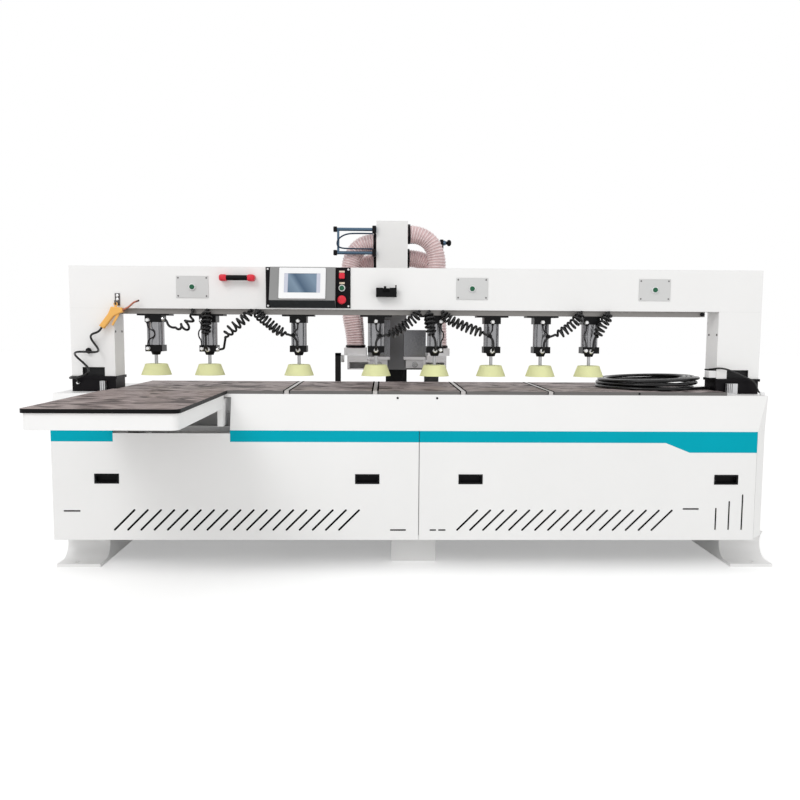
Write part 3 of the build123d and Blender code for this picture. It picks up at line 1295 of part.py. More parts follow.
def gear_rack():
    """A straight rack whose teeth face the operator, with a tooth space at the pinion's centre."""
    pitch = math.pi * RACK_MODULE
    slope = math.tan(math.radians(PRESSURE_ANGLE))
    half = GUIDE_LENGTH / 2
    tip = PITCH_LINE - RACK_MODULE
    outline = [(half, RACK_REAR), (-half, RACK_REAR), (-half, RACK_ROOT)]
    first = math.ceil((-half - PINION_X) / pitch) + 1
    last = math.floor((half - PINION_X) / pitch) - 1
    wide = pitch / 4 - TOOTH_BACKLASH / 4
    for index in range(first, last):
        centre = PINION_X + (index + 0.5) * pitch
        foot = wide + 1.25 * RACK_MODULE * slope
        head = wide - RACK_MODULE * slope
        outline += [(centre - foot, RACK_ROOT), (centre - head, tip)]
        outline += [(centre + head, tip), (centre + foot, RACK_ROOT)]
    outline.append((half, RACK_ROOT))
    return plate_xy(outline, (RAIL_SEAT, RAIL_SEAT + RACK_HEIGHT))


def involute_flank(base, start, end, steps):
    """Polar (radius, turn) pairs of an involute from one radius to another."""
    flank = []
    for index in range(steps + 1):
        radius = start + (end - start) * index / steps
        pressure = math.acos(min(1, base / radius))
        flank.append((radius, math.tan(pressure) - pressure))
    return flank


def drive_pinion():
    """A spur pinion with one tooth pointing at the rack."""
    base = PINION_RADIUS * math.cos(math.radians(PRESSURE_ANGLE))
    root = PINION_RADIUS - 1.25 * RACK_MODULE
    tip = PINION_RADIUS + RACK_MODULE
    flank = involute_flank(base, base, tip, 5)
    pressure = math.radians(PRESSURE_ANGLE)
    at_pitch = math.tan(pressure) - pressure
    half_tooth = math.pi / (2 * PINION_TEETH) - TOOTH_BACKLASH / (4 * PINION_RADIUS)
    outline = []
    for tooth in range(PINION_TEETH):
        centre = math.pi / 2 + 2 * math.pi * tooth / PINION_TEETH
        side = [(root, half_tooth + at_pitch)] + [(r, half_tooth + at_pitch - turn) for r, turn in flank]
        for radius, turn in side:
            outline.append((radius * math.cos(centre - turn), radius * math.sin(centre - turn)))
        for radius, turn in reversed(side):
            outline.append((radius * math.cos(centre + turn), radius * math.sin(centre + turn)))
    places = [(PINION_X + x, PINION_Y + y) for x, y in outline]
    z = (RAIL_SEAT + PINION_LIFT, RAIL_SEAT + PINION_LIFT + PINION_HEIGHT)
    bore = MOTOR_SHAFT_RADIUS + SLIDING_GAP
    return plate_xy(places, z) - rod((PINION_X, PINION_Y, z[0] - 1), (PINION_X, PINION_Y, z[1] + 1), bore)


def carriage_saddle():
    """The plate with its feed guides, a post on an arm, and the four bearing blocks under it."""
    half = SADDLE_LENGTH / 2
    front = RAIL_LINES[0] - BEARING_WIDTH / 2 - BEARING_INSET
    back = BACK - SHEET
    plate = block((HEAD_X - half, HEAD_X + half), (front, back), (SADDLE_BOTTOM, SADDLE_TOP))
    guides = []
    for side in (-1, 1):
        x = HEAD_X + side * FEED_GUIDE_X
        wide = FEED_GUIDE_WIDTH / 2
        guides.append(block((x - wide, x + wide), (front, back), (SADDLE_TOP, SADDLE_TOP + FEED_GUIDE_HEIGHT)))
    hole_low = (PINION_X, PINION_Y, SADDLE_BOTTOM - 1)
    hole_high = (PINION_X, PINION_Y, SADDLE_TOP + 1)
    shaft_hole = rod(hole_low, hole_high, MOTOR_SHAFT_RADIUS + MOTOR_SHAFT_ROOM)
    post_x = HEAD_X - POST_REACH
    arm_x = (post_x - POST_SIZE / 2, HEAD_X - half)
    arm = block(arm_x, (front, front + POST_SIZE), (SADDLE_BOTTOM, SADDLE_TOP))
    post = centred(post_x, front + POST_SIZE / 2, SADDLE_TOP, POST_SIZE, POST_SIZE, POST_TOP - SADDLE_TOP)
    pieces = [fused([plate, arm] + guides) - shaft_hole, post]
    for y in RAIL_LINES:
        for side in (-1, 1):
            x = HEAD_X + side * (half - BEARING_INSET - BEARING_LENGTH / 2)
            bearing = centred(x, y, RAIL_SEAT + BEARING_LIFT, BEARING_LENGTH, BEARING_WIDTH, BEARING_HEIGHT)
            groove = GUIDE_RAIL_WIDTH + 2 * SLIDING_GAP
            depth = GUIDE_RAIL_HEIGHT + SLIDING_GAP + 1
            pieces.append(bearing - centred(x, y, RAIL_SEAT - 1, BEARING_LENGTH + 2, groove, depth))
    return pieces


def drive_motor():
    """The carriage's servo motor with its shaft down to the pinion."""
    size = DRIVE_MOTOR_SIZE
    body = centred(PINION_X, PINION_Y, SADDLE_TOP, size, size, DRIVE_MOTOR_HEIGHT)
    body = fillet(body.edges().filter_by(Axis.Z), size / 10)
    low = (PINION_X, PINION_Y, RAIL_SEAT + PINION_LIFT)
    shaft = rod(low, (PINION_X, PINION_Y, SADDLE_TOP + 1), MOTOR_SHAFT_RADIUS)
    return fused([body, shaft])


def feed_slide():
    """The plate that feeds the head towards the table."""
    half = FEED_WIDTH / 2
    z = (SADDLE_TOP + 2, FEED_TOP)
    plate = block((HEAD_X - half, HEAD_X + half), (FRONT + FEED_FRONT, BACK - SHEET - 22), z)
    for side in (-1, 1):
        x = HEAD_X + side * FEED_GUIDE_X
        wide = FEED_GUIDE_WIDTH / 2 + SLIDING_GAP
        top = SADDLE_TOP + FEED_GUIDE_HEIGHT + SLIDING_GAP
        plate = plate - block((x - wide, x + wide), (FRONT, BACK + 1), (SADDLE_TOP, top))
    return plate


def head_column():
    """A hollow column with two guide bars on its front."""
    half = COLUMN_X / 2
    front = FRONT + COLUMN_FRONT
    tower_x = (HEAD_X - half, HEAD_X + half)
    tower = tube_shell(tower_x, (front, front + COLUMN_Y), (FEED_TOP, COLUMN_TOP), COLUMN_WALL, 2)
    bars = []
    for side in (-1, 1):
        x = HEAD_X + side * HEAD_GUIDE_X
        wide = HEAD_GUIDE_WIDTH / 2
        bar_y = (front - HEAD_GUIDE_DEPTH, front)
        bars.append(block((x - wide, x + wide), bar_y, (HEAD_GUIDE_BOTTOM, COLUMN_TOP)))
    return fused([tower] + bars)


def head_slide():
    """The stepped plate that carries the spindles, with its guide block."""
    half = HEAD_PLATE_WIDTH / 2
    front = HEAD_PLATE_FRONT
    rear = front + HEAD_PLATE
    low = block((HEAD_X - half, HEAD_X + half), (front, rear), (HEAD_PLATE_BOTTOM, HEAD_STEP_Z))
    high = block((HEAD_X - half, HEAD_X + BOX_RIGHT), (front, rear), (HEAD_STEP_Z, HEAD_PLATE_TOP))
    wide = HEAD_BLOCK_WIDTH / 2
    back = FRONT + COLUMN_FRONT - HEAD_BLOCK_GAP
    guide = block((HEAD_X - wide, HEAD_X + wide), (rear, back), (HEAD_BLOCK_BOTTOM, HEAD_BLOCK_TOP))
    for side in (-1, 1):
        x = HEAD_X + side * HEAD_GUIDE_X
        room = HEAD_GUIDE_WIDTH / 2 + SLIDING_GAP
        depth = FRONT + COLUMN_FRONT - HEAD_GUIDE_DEPTH - SLIDING_GAP
        groove_z = (HEAD_BLOCK_BOTTOM - 1, HEAD_BLOCK_TOP + 1)
        guide = guide - block((x - room, x + room), (depth, back + 1), groove_z)
    return fused([low, high, guide])


# Spindles


def spindle_motors():
    """Two finned motors that stand on the gearboxes, the right one shorter."""
    motors = []
    for side, height in zip((-1, 1), SPINDLE_MOTOR_HEIGHTS):
        top = SPINDLE_MOTOR_BOTTOM + height
        x = HEAD_X + side * SPINDLE_X
        body = centred(x, SPINDLE_Y, SPINDLE_MOTOR_BOTTOM, SPINDLE_MOTOR, SPINDLE_MOTOR, height)
        half = SPINDLE_MOTOR / 2
        grooves = []
        for index in range(MOTOR_FIN_COUNT):
            place = (index - (MOTOR_FIN_COUNT - 1) / 2) * SPINDLE_MOTOR / (MOTOR_FIN_COUNT + 1)
            span = (SPINDLE_MOTOR_BOTTOM + 20, top - 30)
            fin = (x + place - MOTOR_FIN_WIDTH / 2, x + place + MOTOR_FIN_WIDTH / 2)
            grooves.append(block(fin, (SPINDLE_Y - half - 1, SPINDLE_Y - half + MOTOR_FIN_DEPTH), span))
        motors.append(body - grooves)
    return motors


def drill_gearboxes():
    """Angle gearboxes under the motors, each bored for its spindle."""
    boxes = []
    for side in (-1, 1):
        x = HEAD_X + side * SPINDLE_X
        split = SPINDLE_MOTOR_BOTTOM - GEARBOX_FLANGE
        body = centred(x, SPINDLE_Y, GEARBOX_BOTTOM, GEARBOX_WIDTH, GEARBOX_DEPTH, split - GEARBOX_BOTTOM)
        flange = centred(x, SPINDLE_Y, split, SPINDLE_MOTOR, SPINDLE_MOTOR, GEARBOX_FLANGE)
        bore = rod((x, GEARBOX_FRONT - 1, DRILL_Z), (x, GEARBOX_FRONT + NOSE_SEAT + SLIDING_GAP, DRILL_Z),
                   NOSE_RADIUS + SLIDING_GAP)
        boxes.append(fused([body, flange]) - bore)
    return boxes


def drill_spindle(side):
    """A spindle nose, its chuck and a drill bit with a flat ground on each side."""
    x = HEAD_X + side * SPINDLE_X
    nose_end = GEARBOX_FRONT - NOSE_LENGTH
    chuck_end = nose_end - CHUCK_LENGTH
    nose = rod((x, GEARBOX_FRONT + NOSE_SEAT, DRILL_Z), (x, nose_end, DRILL_Z), NOSE_RADIUS)
    chuck = rod((x, nose_end, DRILL_Z), (x, chuck_end, DRILL_Z), CHUCK_RADIUS)
    bit = rod((x, chuck_end, DRILL_Z), (x, chuck_end - BIT_LENGTH, DRILL_Z), BIT_RADIUS)
    flats = []
    for row in (-1, 1):
        z = sorted((DRILL_Z + row * CHUCK_RADIUS * 0.8, DRILL_Z + row * (CHUCK_RADIUS + 1)))
        flat_y = (chuck_end, chuck_end + CHUCK_LENGTH / 2)
        flats.append(block((x - CHUCK_RADIUS, x + CHUCK_RADIUS), flat_y, z))
    return fused([nose, chuck, bit]) - flats


# Dust extraction


def hood_outline(side, inset):
    """The hood seen from the front, stepped round the gearbox flange and the motor, drawn in by inset."""
    low = SPINDLE_X + GEARBOX_WIDTH / 2 + inset
    high = SPINDLE_X + SPINDLE_MOTOR / 2 + HOOD_CLEAR + inset
    outer = HOOD_OUTER - inset
    bottom = HOOD_BOTTOM + inset
    step = SPINDLE_MOTOR_BOTTOM - GEARBOX_FLANGE - 1 - inset
    top = HOOD_SPLIT - inset
    outline = [(low, bottom), (outer, bottom), (outer, top), (high, top), (high, step), (low, step)]
    return [(HEAD_X + side * x, z) for x, z in outline]


def dust_hood(side):
    """A hollow hood beside a gearbox, with a duct on top for two hoses."""
    wall = HOOD_WALL
    inner = SPINDLE_X + GEARBOX_WIDTH / 2
    y = (FRONT + HOOD_FRONT, FRONT + HOOD_FRONT + HOOD_DEPTH)
    duct_x = sorted((HEAD_X + side * DUCT_INNER, HEAD_X + side * DUCT_OUTER))
    duct_y = (FRONT + DUCT_FRONT, FRONT + DUCT_BACK)
    way_x = sorted((HEAD_X + side * (DUCT_INNER + wall), HEAD_X + side * (HOOD_OUTER - wall)))
    hood = plate_xz(hood_outline(side, 0), y) - plate_xz(hood_outline(side, wall), (y[0] + wall, y[1] - wall))
    duct_z = (HOOD_SPLIT, HOOD_TOP)
    duct_room = [(low + wall, high - wall) for low, high in (duct_x, duct_y, duct_z)]
    duct = block(duct_x, duct_y, duct_z) - block(*duct_room)
    way = block(way_x, (duct_y[0] + wall, y[1] - wall), (HOOD_SPLIT - wall - 1, HOOD_SPLIT + wall + 1))
    mouth_x = sorted((HEAD_X + side * (inner + 4 * wall), HEAD_X + side * (HOOD_OUTER - 4 * wall)))
    mouth_z = (HOOD_BOTTOM + 2 * wall, HOOD_BOTTOM + HOOD_MOUTH_HEIGHT)
    mouth = block(mouth_x, (y[0] - 1, y[0] + wall + 1), mouth_z)
    holes = []
    for hose_y in (HOSE_FRONT_Y, HOSE_REAR_Y):
        foot = (HEAD_X + side * HOSE_FOOT_X, FRONT + hose_y, HOOD_TOP - wall - 1)
        holes.append(rod(foot, (foot[0], foot[1], HOOD_TOP + 1), HOSE_BORE))
    return fused([hood, duct]) - way - mouth - holes


HOSE_RIB_SHAPE = (
    (0, HOSE_RADIUS - HOSE_GROOVE),
    (0.3, HOSE_RADIUS - HOSE_GROOVE),
    (0.5, HOSE_RADIUS),
    (0.8, HOSE_RADIUS),
)
HOSE_START_Z = HOOD_TOP + 55
HOSE_EASE = 200
DUST_HOSES = (
    (-1, HOSE_FRONT_Y, (-262, 160 / 518), -258, LEFT_UPPER_Z, 118),
    (-1, HOSE_REAR_Y, (-240, 160 / 419), -238, LEFT_LOWER_Z, 98),
    (1, HOSE_FRONT_Y, (218, 210 / 565), 218, RIGHT_UPPER_Z, 138),
    (1, HOSE_REAR_Y, (215, 210 / 443), 213, RIGHT_LOWER_Z, 130),
)


def dust_hose_path(side, y, waist, top_x, height, bend, past):
    """The line of a dust hose from its duct into the side of the dust box, drawn on by past at both ends."""
    foot = side * HOSE_FOOT_X
    face = BOX_LEFT if side < 0 else BOX_RIGHT
    waist_x, share = waist
    waist_z = HOSE_START_Z + share * (height - HOSE_START_Z)
    route = [(foot, HOOD_TOP - past), (foot, HOSE_START_Z), (waist_x, waist_z), (top_x, height)]
    route.append((face - side * past, height))
    points = [(HEAD_X + x, FRONT + y, z) for x, z in route]
    return FilletPolyline(*points, radius=[HOSE_EASE, HOSE_EASE, bend])


def ribbed_hose(*hose):
    """A hose with raised ribs and a smooth bore."""
    path = dust_hose_path(*hose, 0)
    stations = [(index + share, radius) for index in range(HOSE_RIBS) for share, radius in HOSE_RIB_SHAPE]
    stations.append((HOSE_RIBS, HOSE_RADIUS - HOSE_GROOVE))
    rings = []
    for station, radius in stations:
        t = station / HOSE_RIBS
        rings.append(Plane(origin=path @ t, x_dir=(0, 1, 0), z_dir=path % t) * Circle(radius))
    core_path = dust_hose_path(*hose, HOOD_WALL)
    core_start = Plane(origin=core_path @ 0, x_dir=(0, 1, 0), z_dir=core_path % 0)
    core = sweep(core_start * Circle(HOSE_BORE), path=core_path)
    return loft(rings, ruled=True) - core


def dust_hoses():
    return [ribbed_hose(*hose) for hose in DUST_HOSES]


def dust_box():
    """The box that gathers the four hoses, with one outlet at its back."""
    x = (HEAD_X + BOX_LEFT, HEAD_X + BOX_RIGHT)
    y = (FRONT + BOX_FRONT, FRONT + BOX_FRONT + BOX_DEPTH)
    z = (HEAD_PLATE_TOP, BOX_TOP)
    wall = BOX_WALL
    shell = block(x, y, z)
    room = block((x[0] + wall, x[1] - wall), (y[0] + wall, y[1] - wall), (z[0] + wall, z[1] - wall))
    centre = (HEAD_X + (BOX_LEFT + BOX_RIGHT) / 2, y[1], OUTLET_Z)
    outlet = rod(centre, (centre[0], y[1] + OUTLET_LENGTH, OUTLET_Z), OUTLET_RADIUS)
    bore = rod((centre[0], y[1] - wall - 1, OUTLET_Z), (centre[0], y[1] + OUTLET_LENGTH + 1, OUTLET_Z),
               OUTLET_RADIUS - wall)
    box = fused([shell, outlet]) - room - bore
    ports = ((0, HOSE_FRONT_Y, LEFT_UPPER_Z), (0, HOSE_REAR_Y, LEFT_LOWER_Z))
    ports += ((1, HOSE_FRONT_Y, RIGHT_UPPER_Z), (1, HOSE_REAR_Y, RIGHT_LOWER_Z))
    for face, port_y, port_z in ports:
        reach = wall + 1
        near = (x[face] - reach, FRONT + port_y, port_z)
        far = (x[face] + reach, FRONT + port_y, port_z)
        box = box - rod(near, far, HOSE_BORE)
    return box


def gate_cylinders():
    """Two gate bars joined by a link on the left, and a gate rod with a knob on the right."""
    face = HEAD_X + BOX_LEFT
    y = FRONT + GATE_BAR_Y
    end = face - GATE_REACH
    pieces = []
    for z in (GATE_UPPER_Z, GATE_LOWER_Z):
        half = GATE_BRACKET / 2
        pieces.append(rod((face, y, z), (end, y, z), GATE_BAR_RADIUS))
        arm = (y - half, FRONT + BOX_FRONT + GATE_BRACKET)
        pieces.append(block((face - half, face), arm, (z - half, z + half)))
    link = GATE_LINK / 2
    place = face - GATE_LINK_REACH
    pieces.append(block((place - link, place + link), (y - link, y + link), (GATE_LOWER_Z, GATE_UPPER_Z)))
    right = HEAD_X + BOX_RIGHT
    rod_y = FRONT + PULL_ROD_Y
    handle = rod((right, rod_y, PULL_ROD_Z), (right + PULL_ROD_REACH, rod_y, PULL_ROD_Z), PULL_ROD_RADIUS)
    knob = Pos(right + PULL_ROD_REACH, rod_y, PULL_ROD_Z) * Sphere(PULL_KNOB_RADIUS)
    return fused(pieces), fused([handle, knob])


def main():
    os.makedirs("parts", exist_ok=True)
    save("base_frame", *base_frame())
    save("base_deck", base_deck())
    save("front_panel_left", *front_panel_left())
    save("front_panel_right", *front_panel_right())
    save("base_panels", *base_panels())
    save("accent_strips", *accent_strips())
    save("recess_pulls", *recess_pulls())
    save("floor_feet", *floor_feet())
    save("table_boards", *table_boards())
    save("table_strips", *table_strips())
    save("side_table_frame", side_table_frame())
    save("side_table_top", side_table_top())
    save("portal_frame", *portal_frame())
    save("beam_cover", beam_cover())
    save("column_covers", *column_covers())
    save("column_boots", *column_boots())
    save("clamp_rail", clamp_rail())
    save("cylinder_caps", *cylinder_caps())
    save("cylinder_barrels", *cylinder_barrels())
    for number, x in enumerate(PRESS_X, 1):
        save(f"press_foot_{number}", *press_foot(x))
    save("air_hoses", *[air_hose(*hose) for hose in AIR_HOSES])
    save("gun_hook", gun_hook())
    save("blow_gun", *blow_gun())
    save("gun_trigger", gun_trigger())
    save("gun_hose", gun_hose())
    save("power_cable_coil", power_cable_coil())
    save("power_cable_lead", power_cable_lead())
    save("operator_panel", *operator_panel())
    save("operator_housing", operator_housing())
    save("touch_display", *touch_display())
    save("button_plates", *button_plates())
    for name, x in zip(("left", "middle", "right"), BUTTON_PLATE_X):
        save(f"start_button_{name}", push_button(x, BUTTON_PLATE_Z, BUTTON_PLATE[2]))
    save("panel_start_button", push_button(CONTROL_X, PANEL_START_Z, PANEL_PLATE))
    save("stop_button", stop_button())
    save("pull_handle", pull_handle())
    save("scanner_cradle", scanner_cradle())
    save("x_guides", *x_guides())
    save("carriage_saddle", *carriage_saddle())
    save("drive_motor", drive_motor())
    save("drive_pinion", drive_pinion())
    save("feed_slide", feed_slide())
    save("head_column", head_column())
    save("head_slide", head_slide())
    save("spindle_motors", *spindle_motors())
    save("drill_gearboxes", *drill_gearboxes())
    save("drill_spindle_left", drill_spindle(-1))
    save("drill_spindle_right", drill_spindle(1))
    save("dust_hoods", dust_hood(-1), dust_hood(1))
    save("dust_hoses", *dust_hoses())
    save("dust_box", dust_box())
    save("gate_cylinders", *gate_cylinders())


if __name__ == "__main__":
    main()
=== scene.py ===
import math
from collections import namedtuple

import bmesh
import bpy
from mathutils import Matrix, Vector


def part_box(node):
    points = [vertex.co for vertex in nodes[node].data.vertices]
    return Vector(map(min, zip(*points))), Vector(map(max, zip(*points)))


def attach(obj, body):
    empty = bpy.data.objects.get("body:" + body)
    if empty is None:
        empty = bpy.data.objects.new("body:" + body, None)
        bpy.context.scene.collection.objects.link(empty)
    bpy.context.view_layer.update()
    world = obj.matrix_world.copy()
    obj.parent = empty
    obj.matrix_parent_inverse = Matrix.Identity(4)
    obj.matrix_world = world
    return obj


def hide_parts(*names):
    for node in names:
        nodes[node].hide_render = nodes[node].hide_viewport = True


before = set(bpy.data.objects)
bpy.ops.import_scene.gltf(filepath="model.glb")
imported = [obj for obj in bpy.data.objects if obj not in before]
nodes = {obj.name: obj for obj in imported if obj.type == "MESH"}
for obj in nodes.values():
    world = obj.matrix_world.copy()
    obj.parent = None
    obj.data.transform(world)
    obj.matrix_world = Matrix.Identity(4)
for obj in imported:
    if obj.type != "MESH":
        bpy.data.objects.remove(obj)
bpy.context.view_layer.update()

# The looks of the side hole drilling machine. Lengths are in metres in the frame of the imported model.

# Camera
CAMERA_PLACE = (-0.1616, -3.6359, 1.0922)
CAMERA_YAW = math.radians(1.21)
CAMERA_PITCH = math.radians(5.23)
CAMERA_ROLL = math.radians(0.34)
CAMERA_LENS = 35.1
FILM_WIDTH = 36

# Light and floor
SKY_LIGHT = 0.80
KEY_PLACE = (-2.8, -4.4, 4.6)
KEY_AIM = (0, 0.2, 0.8)
KEY_SIZE = 2.4
KEY_POWER = 82
FILL_PLACE = (3.4, -4.2, 2.8)
FILL_AIM = (0.3, 0.2, 0.8)
FILL_SIZE = 3.0
FILL_POWER = 13
FLOOR_REACH = 30
FLOOR_LIFT = 0.30

# Surfaces
SOFT_EDGE = 0.0012
WORN_EDGE = 0.0018
EDGE_SAMPLES = 4
GRAIN_DEPTH = 0.0004
BOARD_GRAIN = (4.5, 9.0, 9.0)
BOARD_FIBRE = (4.0, 90.0, 90.0)
BOARD_DEPTH = 0.0006

# Places shared with the solids, and how deep a fitting's foot sits in its seat
BEAM_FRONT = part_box("beam_cover")[0].y
BEAM_MIDDLE = 0.056
BEAM_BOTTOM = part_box("beam_cover")[0].z
RAIL_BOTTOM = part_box("clamp_rail")[0].z
TABLE_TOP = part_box("table_boards")[1].z
HEAD_X = -0.090
PRESS_X = (-1.230, -0.980, -0.561, -0.198, 0.078, 0.346, 0.581, 0.812)
CAP_HALF = 0.039
CAP_FRONT = BEAM_MIDDLE - CAP_HALF
UPPER_PORT_Z = 1.131
LOWER_PORT_Z = 0.990
SINK = 0.001

# Curly air hoses: corners are (x, out from the beam's middle, drop below the rail)
HosePlan = namedtuple("HosePlan", "start corners cap side height turns length")
AIR_TUBE = 0.011
AIR_CURL = 0.020
AIR_EASE = 1.9
AIR_START_Y = BEAM_FRONT + 0.006
AIR_SIDE_Y = BEAM_MIDDLE - 0.030
AIR_HOSES = (
    HosePlan(-1.042, ((-1.040, 0.070, 0.006), (-1.062, 0.078, 0.056), (-1.112, 0.068, 0.066),
                      (-1.158, 0.046, 0.060), (-1.172, 0.030, 0.023)), 0, 1, UPPER_PORT_Z, 4, 0.415),
    HosePlan(-0.975, ((-0.975, 0.074, -0.002), (-0.975, 0.086, 0.038), (-0.979, 0.084, 0.088),
                      (-0.980, 0.080, 0.112), (-0.980, 0.080, 0.164)), 1, 0, LOWER_PORT_Z, 8, 0.890),
    HosePlan(-0.748, ((-0.742, 0.074, 0.002), (-0.690, 0.086, 0.038), (-0.640, 0.084, 0.082),
                      (-0.561, 0.080, 0.102), (-0.561, 0.080, 0.164)), 2, 0, LOWER_PORT_Z, 11, 1.302),
    HosePlan(0.002, ((-0.004, 0.074, 0.002), (-0.064, 0.086, 0.046), (-0.118, 0.084, 0.084),
                     (-0.198, 0.080, 0.102), (-0.198, 0.080, 0.164)), 3, 0, LOWER_PORT_Z, 11, 1.316),
    HosePlan(0.048, ((0.048, 0.074, -0.002), (0.048, 0.086, 0.038), (0.058, 0.084, 0.086),
                     (0.078, 0.080, 0.112), (0.078, 0.080, 0.164)), 4, 0, LOWER_PORT_Z, 8, 0.895),
    HosePlan(0.112, ((0.116, 0.074, 0.008), (0.186, 0.086, 0.042), (0.272, 0.084, 0.074),
                     (0.346, 0.080, 0.098), (0.346, 0.080, 0.164)), 5, 0, LOWER_PORT_Z, 12, 1.433),
    HosePlan(0.756, ((0.750, 0.074, 0.002), (0.706, 0.086, 0.044), (0.660, 0.084, 0.080),
                     (0.581, 0.080, 0.102), (0.581, 0.080, 0.164)), 6, 0, LOWER_PORT_Z, 9, 1.066),
    HosePlan(0.884, ((0.882, 0.074, -0.002), (0.852, 0.086, 0.038), (0.826, 0.084, 0.088),
                     (0.812, 0.080, 0.112), (0.812, 0.080, 0.164)), 7, 0, LOWER_PORT_Z, 8, 0.898),
    HosePlan(-0.774, ((-0.780, 0.074, 0.002), (-0.828, 0.086, 0.042), (-0.886, 0.076, 0.086),
                      (-0.902, 0.048, 0.146), (-0.908, 0.030, 0.164)), 1, 1, LOWER_PORT_Z, 8, 0.908),
)
TAIL_SPANS = 2
TAIL_POINTS = 10
CURL_POINTS = 14

# Thin air tubes at the cylinders: between both caps as (x, bow), to a tee on the hose as (x, side)
THIN_TUBE = 0.0065
CAP_TUBES = ((-1.254, 0.034), (-1.006, -0.012), (0.104, 0.012), (0.786, -0.012))
TEE_TUBES = ((-0.561, -1), (-0.198, 1), (0.346, -1), (0.581, 1))
ELBOW_TOP = UPPER_PORT_Z - 0.006
ELBOW_FOOT = LOWER_PORT_Z + 0.004
ELBOW_Y = CAP_FRONT - 0.011
ELBOW_REACH = 0.014
TEE_ASIDE = 0.018
TEE_Y = -0.025
TEE_Z = 1.0535
TEE_HALF = 0.010
TEE_RISE = 0.003
TEE_TILT = 0.25
TEE_REACH = 0.013

# Hose of the blow gun
GUN_HOSE = 0.010
GUN_CURL = 0.042
GUN_TURNS = 3
GUN_ROUTE = (
    (-1.447, -0.037, 1.091),
    (-1.4765, -0.051, 1.0446),
    (-1.524, -0.071, 0.950),
    (-1.566, -0.071, 0.841),
    (-1.570, -0.009, 0.835),
)

# Power cable on the table
CABLE = 0.014
CABLE_GAP = 0.0003
CABLE_LOW = TABLE_TOP + CABLE_GAP + CABLE / 2
COIL_CENTRE = (1.130, 0.200)
COIL_RADIUS = 0.245
COIL_STEP = 0.0185
COIL_RISE = 0.0146
COIL_LAYERS = 3
COIL_LOOPS = 3
COIL_CLIMB = 0.5
COIL_TURNS = COIL_LAYERS * (COIL_LOOPS + COIL_CLIMB) - COIL_CLIMB
COIL_DRIFT = 0.009
COIL_SWAY = 0.45
COIL_LEAN = 0.012
COIL_SQUEEZE = 0.026
COIL_LIFT = 0.009
LEAD_START = Vector((1.400, BEAM_MIDDLE, CABLE_LOW))
LEAD_BEND = Vector((1.351, BEAM_MIDDLE, CABLE_LOW))

# Terminal box on the right column, and the lead from it over the boot
TERMINAL_LOW = Vector((1.366, -0.006, 0.868))
TERMINAL_HIGH = Vector((1.4005, 0.046, 0.907))
TERMINAL_LID = 0.004
TERMINAL_LAP = 0.003
TERMINAL_MARGIN = 0.001
BOOT_LEAD = 0.0085
BOOT_LEAD_WAY = (0.77, -0.60, 0.22)
BOOT_ROUTE = (
    (1.372, 0.006, 0.9075),
    (1.394, -0.012, 0.9155),
    (1.420, -0.032, 0.9165),
    (1.450, -0.044, 0.9075),
    (1.512, -0.048, 0.880),
    (1.566, -0.052, 0.856),
    (1.578, -0.060, 0.8035),
    (1.588, -0.074, 0.8035),
)
CONNECTOR = ((1.579, -0.086, 0.7952), (1.599, -0.068, 0.8105))

# Air tube between the two gate cylinders
GATE_TUBE = 0.008
GATE_ROUTE = (
    (-0.224, 0.600, 1.597),
    (-0.300, 0.598, 1.598),
    (-0.372, 0.596, 1.594),
    (-0.416, 0.596, 1.560),
    (-0.410, 0.596, 1.520),
    (-0.340, 0.598, 1.516),
    (-0.224, 0.600, 1.516),
)

# Ribbed dust hoses: y, control points as (x from the head, z)
DUST_RADIUS = 0.050
DUST_GROOVE = 0.004
DUST_RIBS = 48
DUST_RINGS = 8
DUST_SIDES = 40
DUST_CREASE = 0.0009
CREASES = 7
CREASE_SHIFT = 1.9
RIB_ROUNDING = 0.7
RIB_SHARE = 0.16
DUST_HOSES = (
    (0.680, ((-0.228, 0.985), (-0.228, 1.040), (-0.262, 1.200), (-0.258, 1.558), (-0.114, 1.558))),
    (0.785, ((-0.228, 0.985), (-0.228, 1.040), (-0.240, 1.200), (-0.238, 1.459), (-0.114, 1.459))),
    (0.680, ((0.228, 0.985), (0.228, 1.040), (0.218, 1.250), (0.218, 1.605), (0.055, 1.605))),
    (0.785, ((0.228, 0.985), (0.228, 1.040), (0.215, 1.250), (0.213, 1.483), (0.055, 1.483))),
)

# Faces that differ in finish from the rest of their node
PAD_HEIGHT = 0.052
PAD_SLACK = 0.0002
STOP_SEAT = BEAM_FRONT - 0.0061
PANEL_FACE = BEAM_FRONT - 0.0041
LAMP_FOOT = 1.310
RING_REACH = 0.0079
NOZZLE_X = -1.350
NOZZLE_BOTTOM = 1.165
NOZZLE_TIP_X = -1.284
# Folded returns behind the vents, painted black as painted shade in the slots
PANEL_SKIN = 0.0015
PANEL_RETURNS = (0.730, 1.460)
RETURN_SLACK = 0.004
SCREEN_MIDDLE = Vector((-0.5325, -0.054, 1.2935))
SCREEN_UP = Vector((0, 0.050, 0.153)).normalized()
SCREEN_WIDTH = 0.163
SCREEN_HEIGHT = 0.092
SCREEN_SLACK = 0.0004

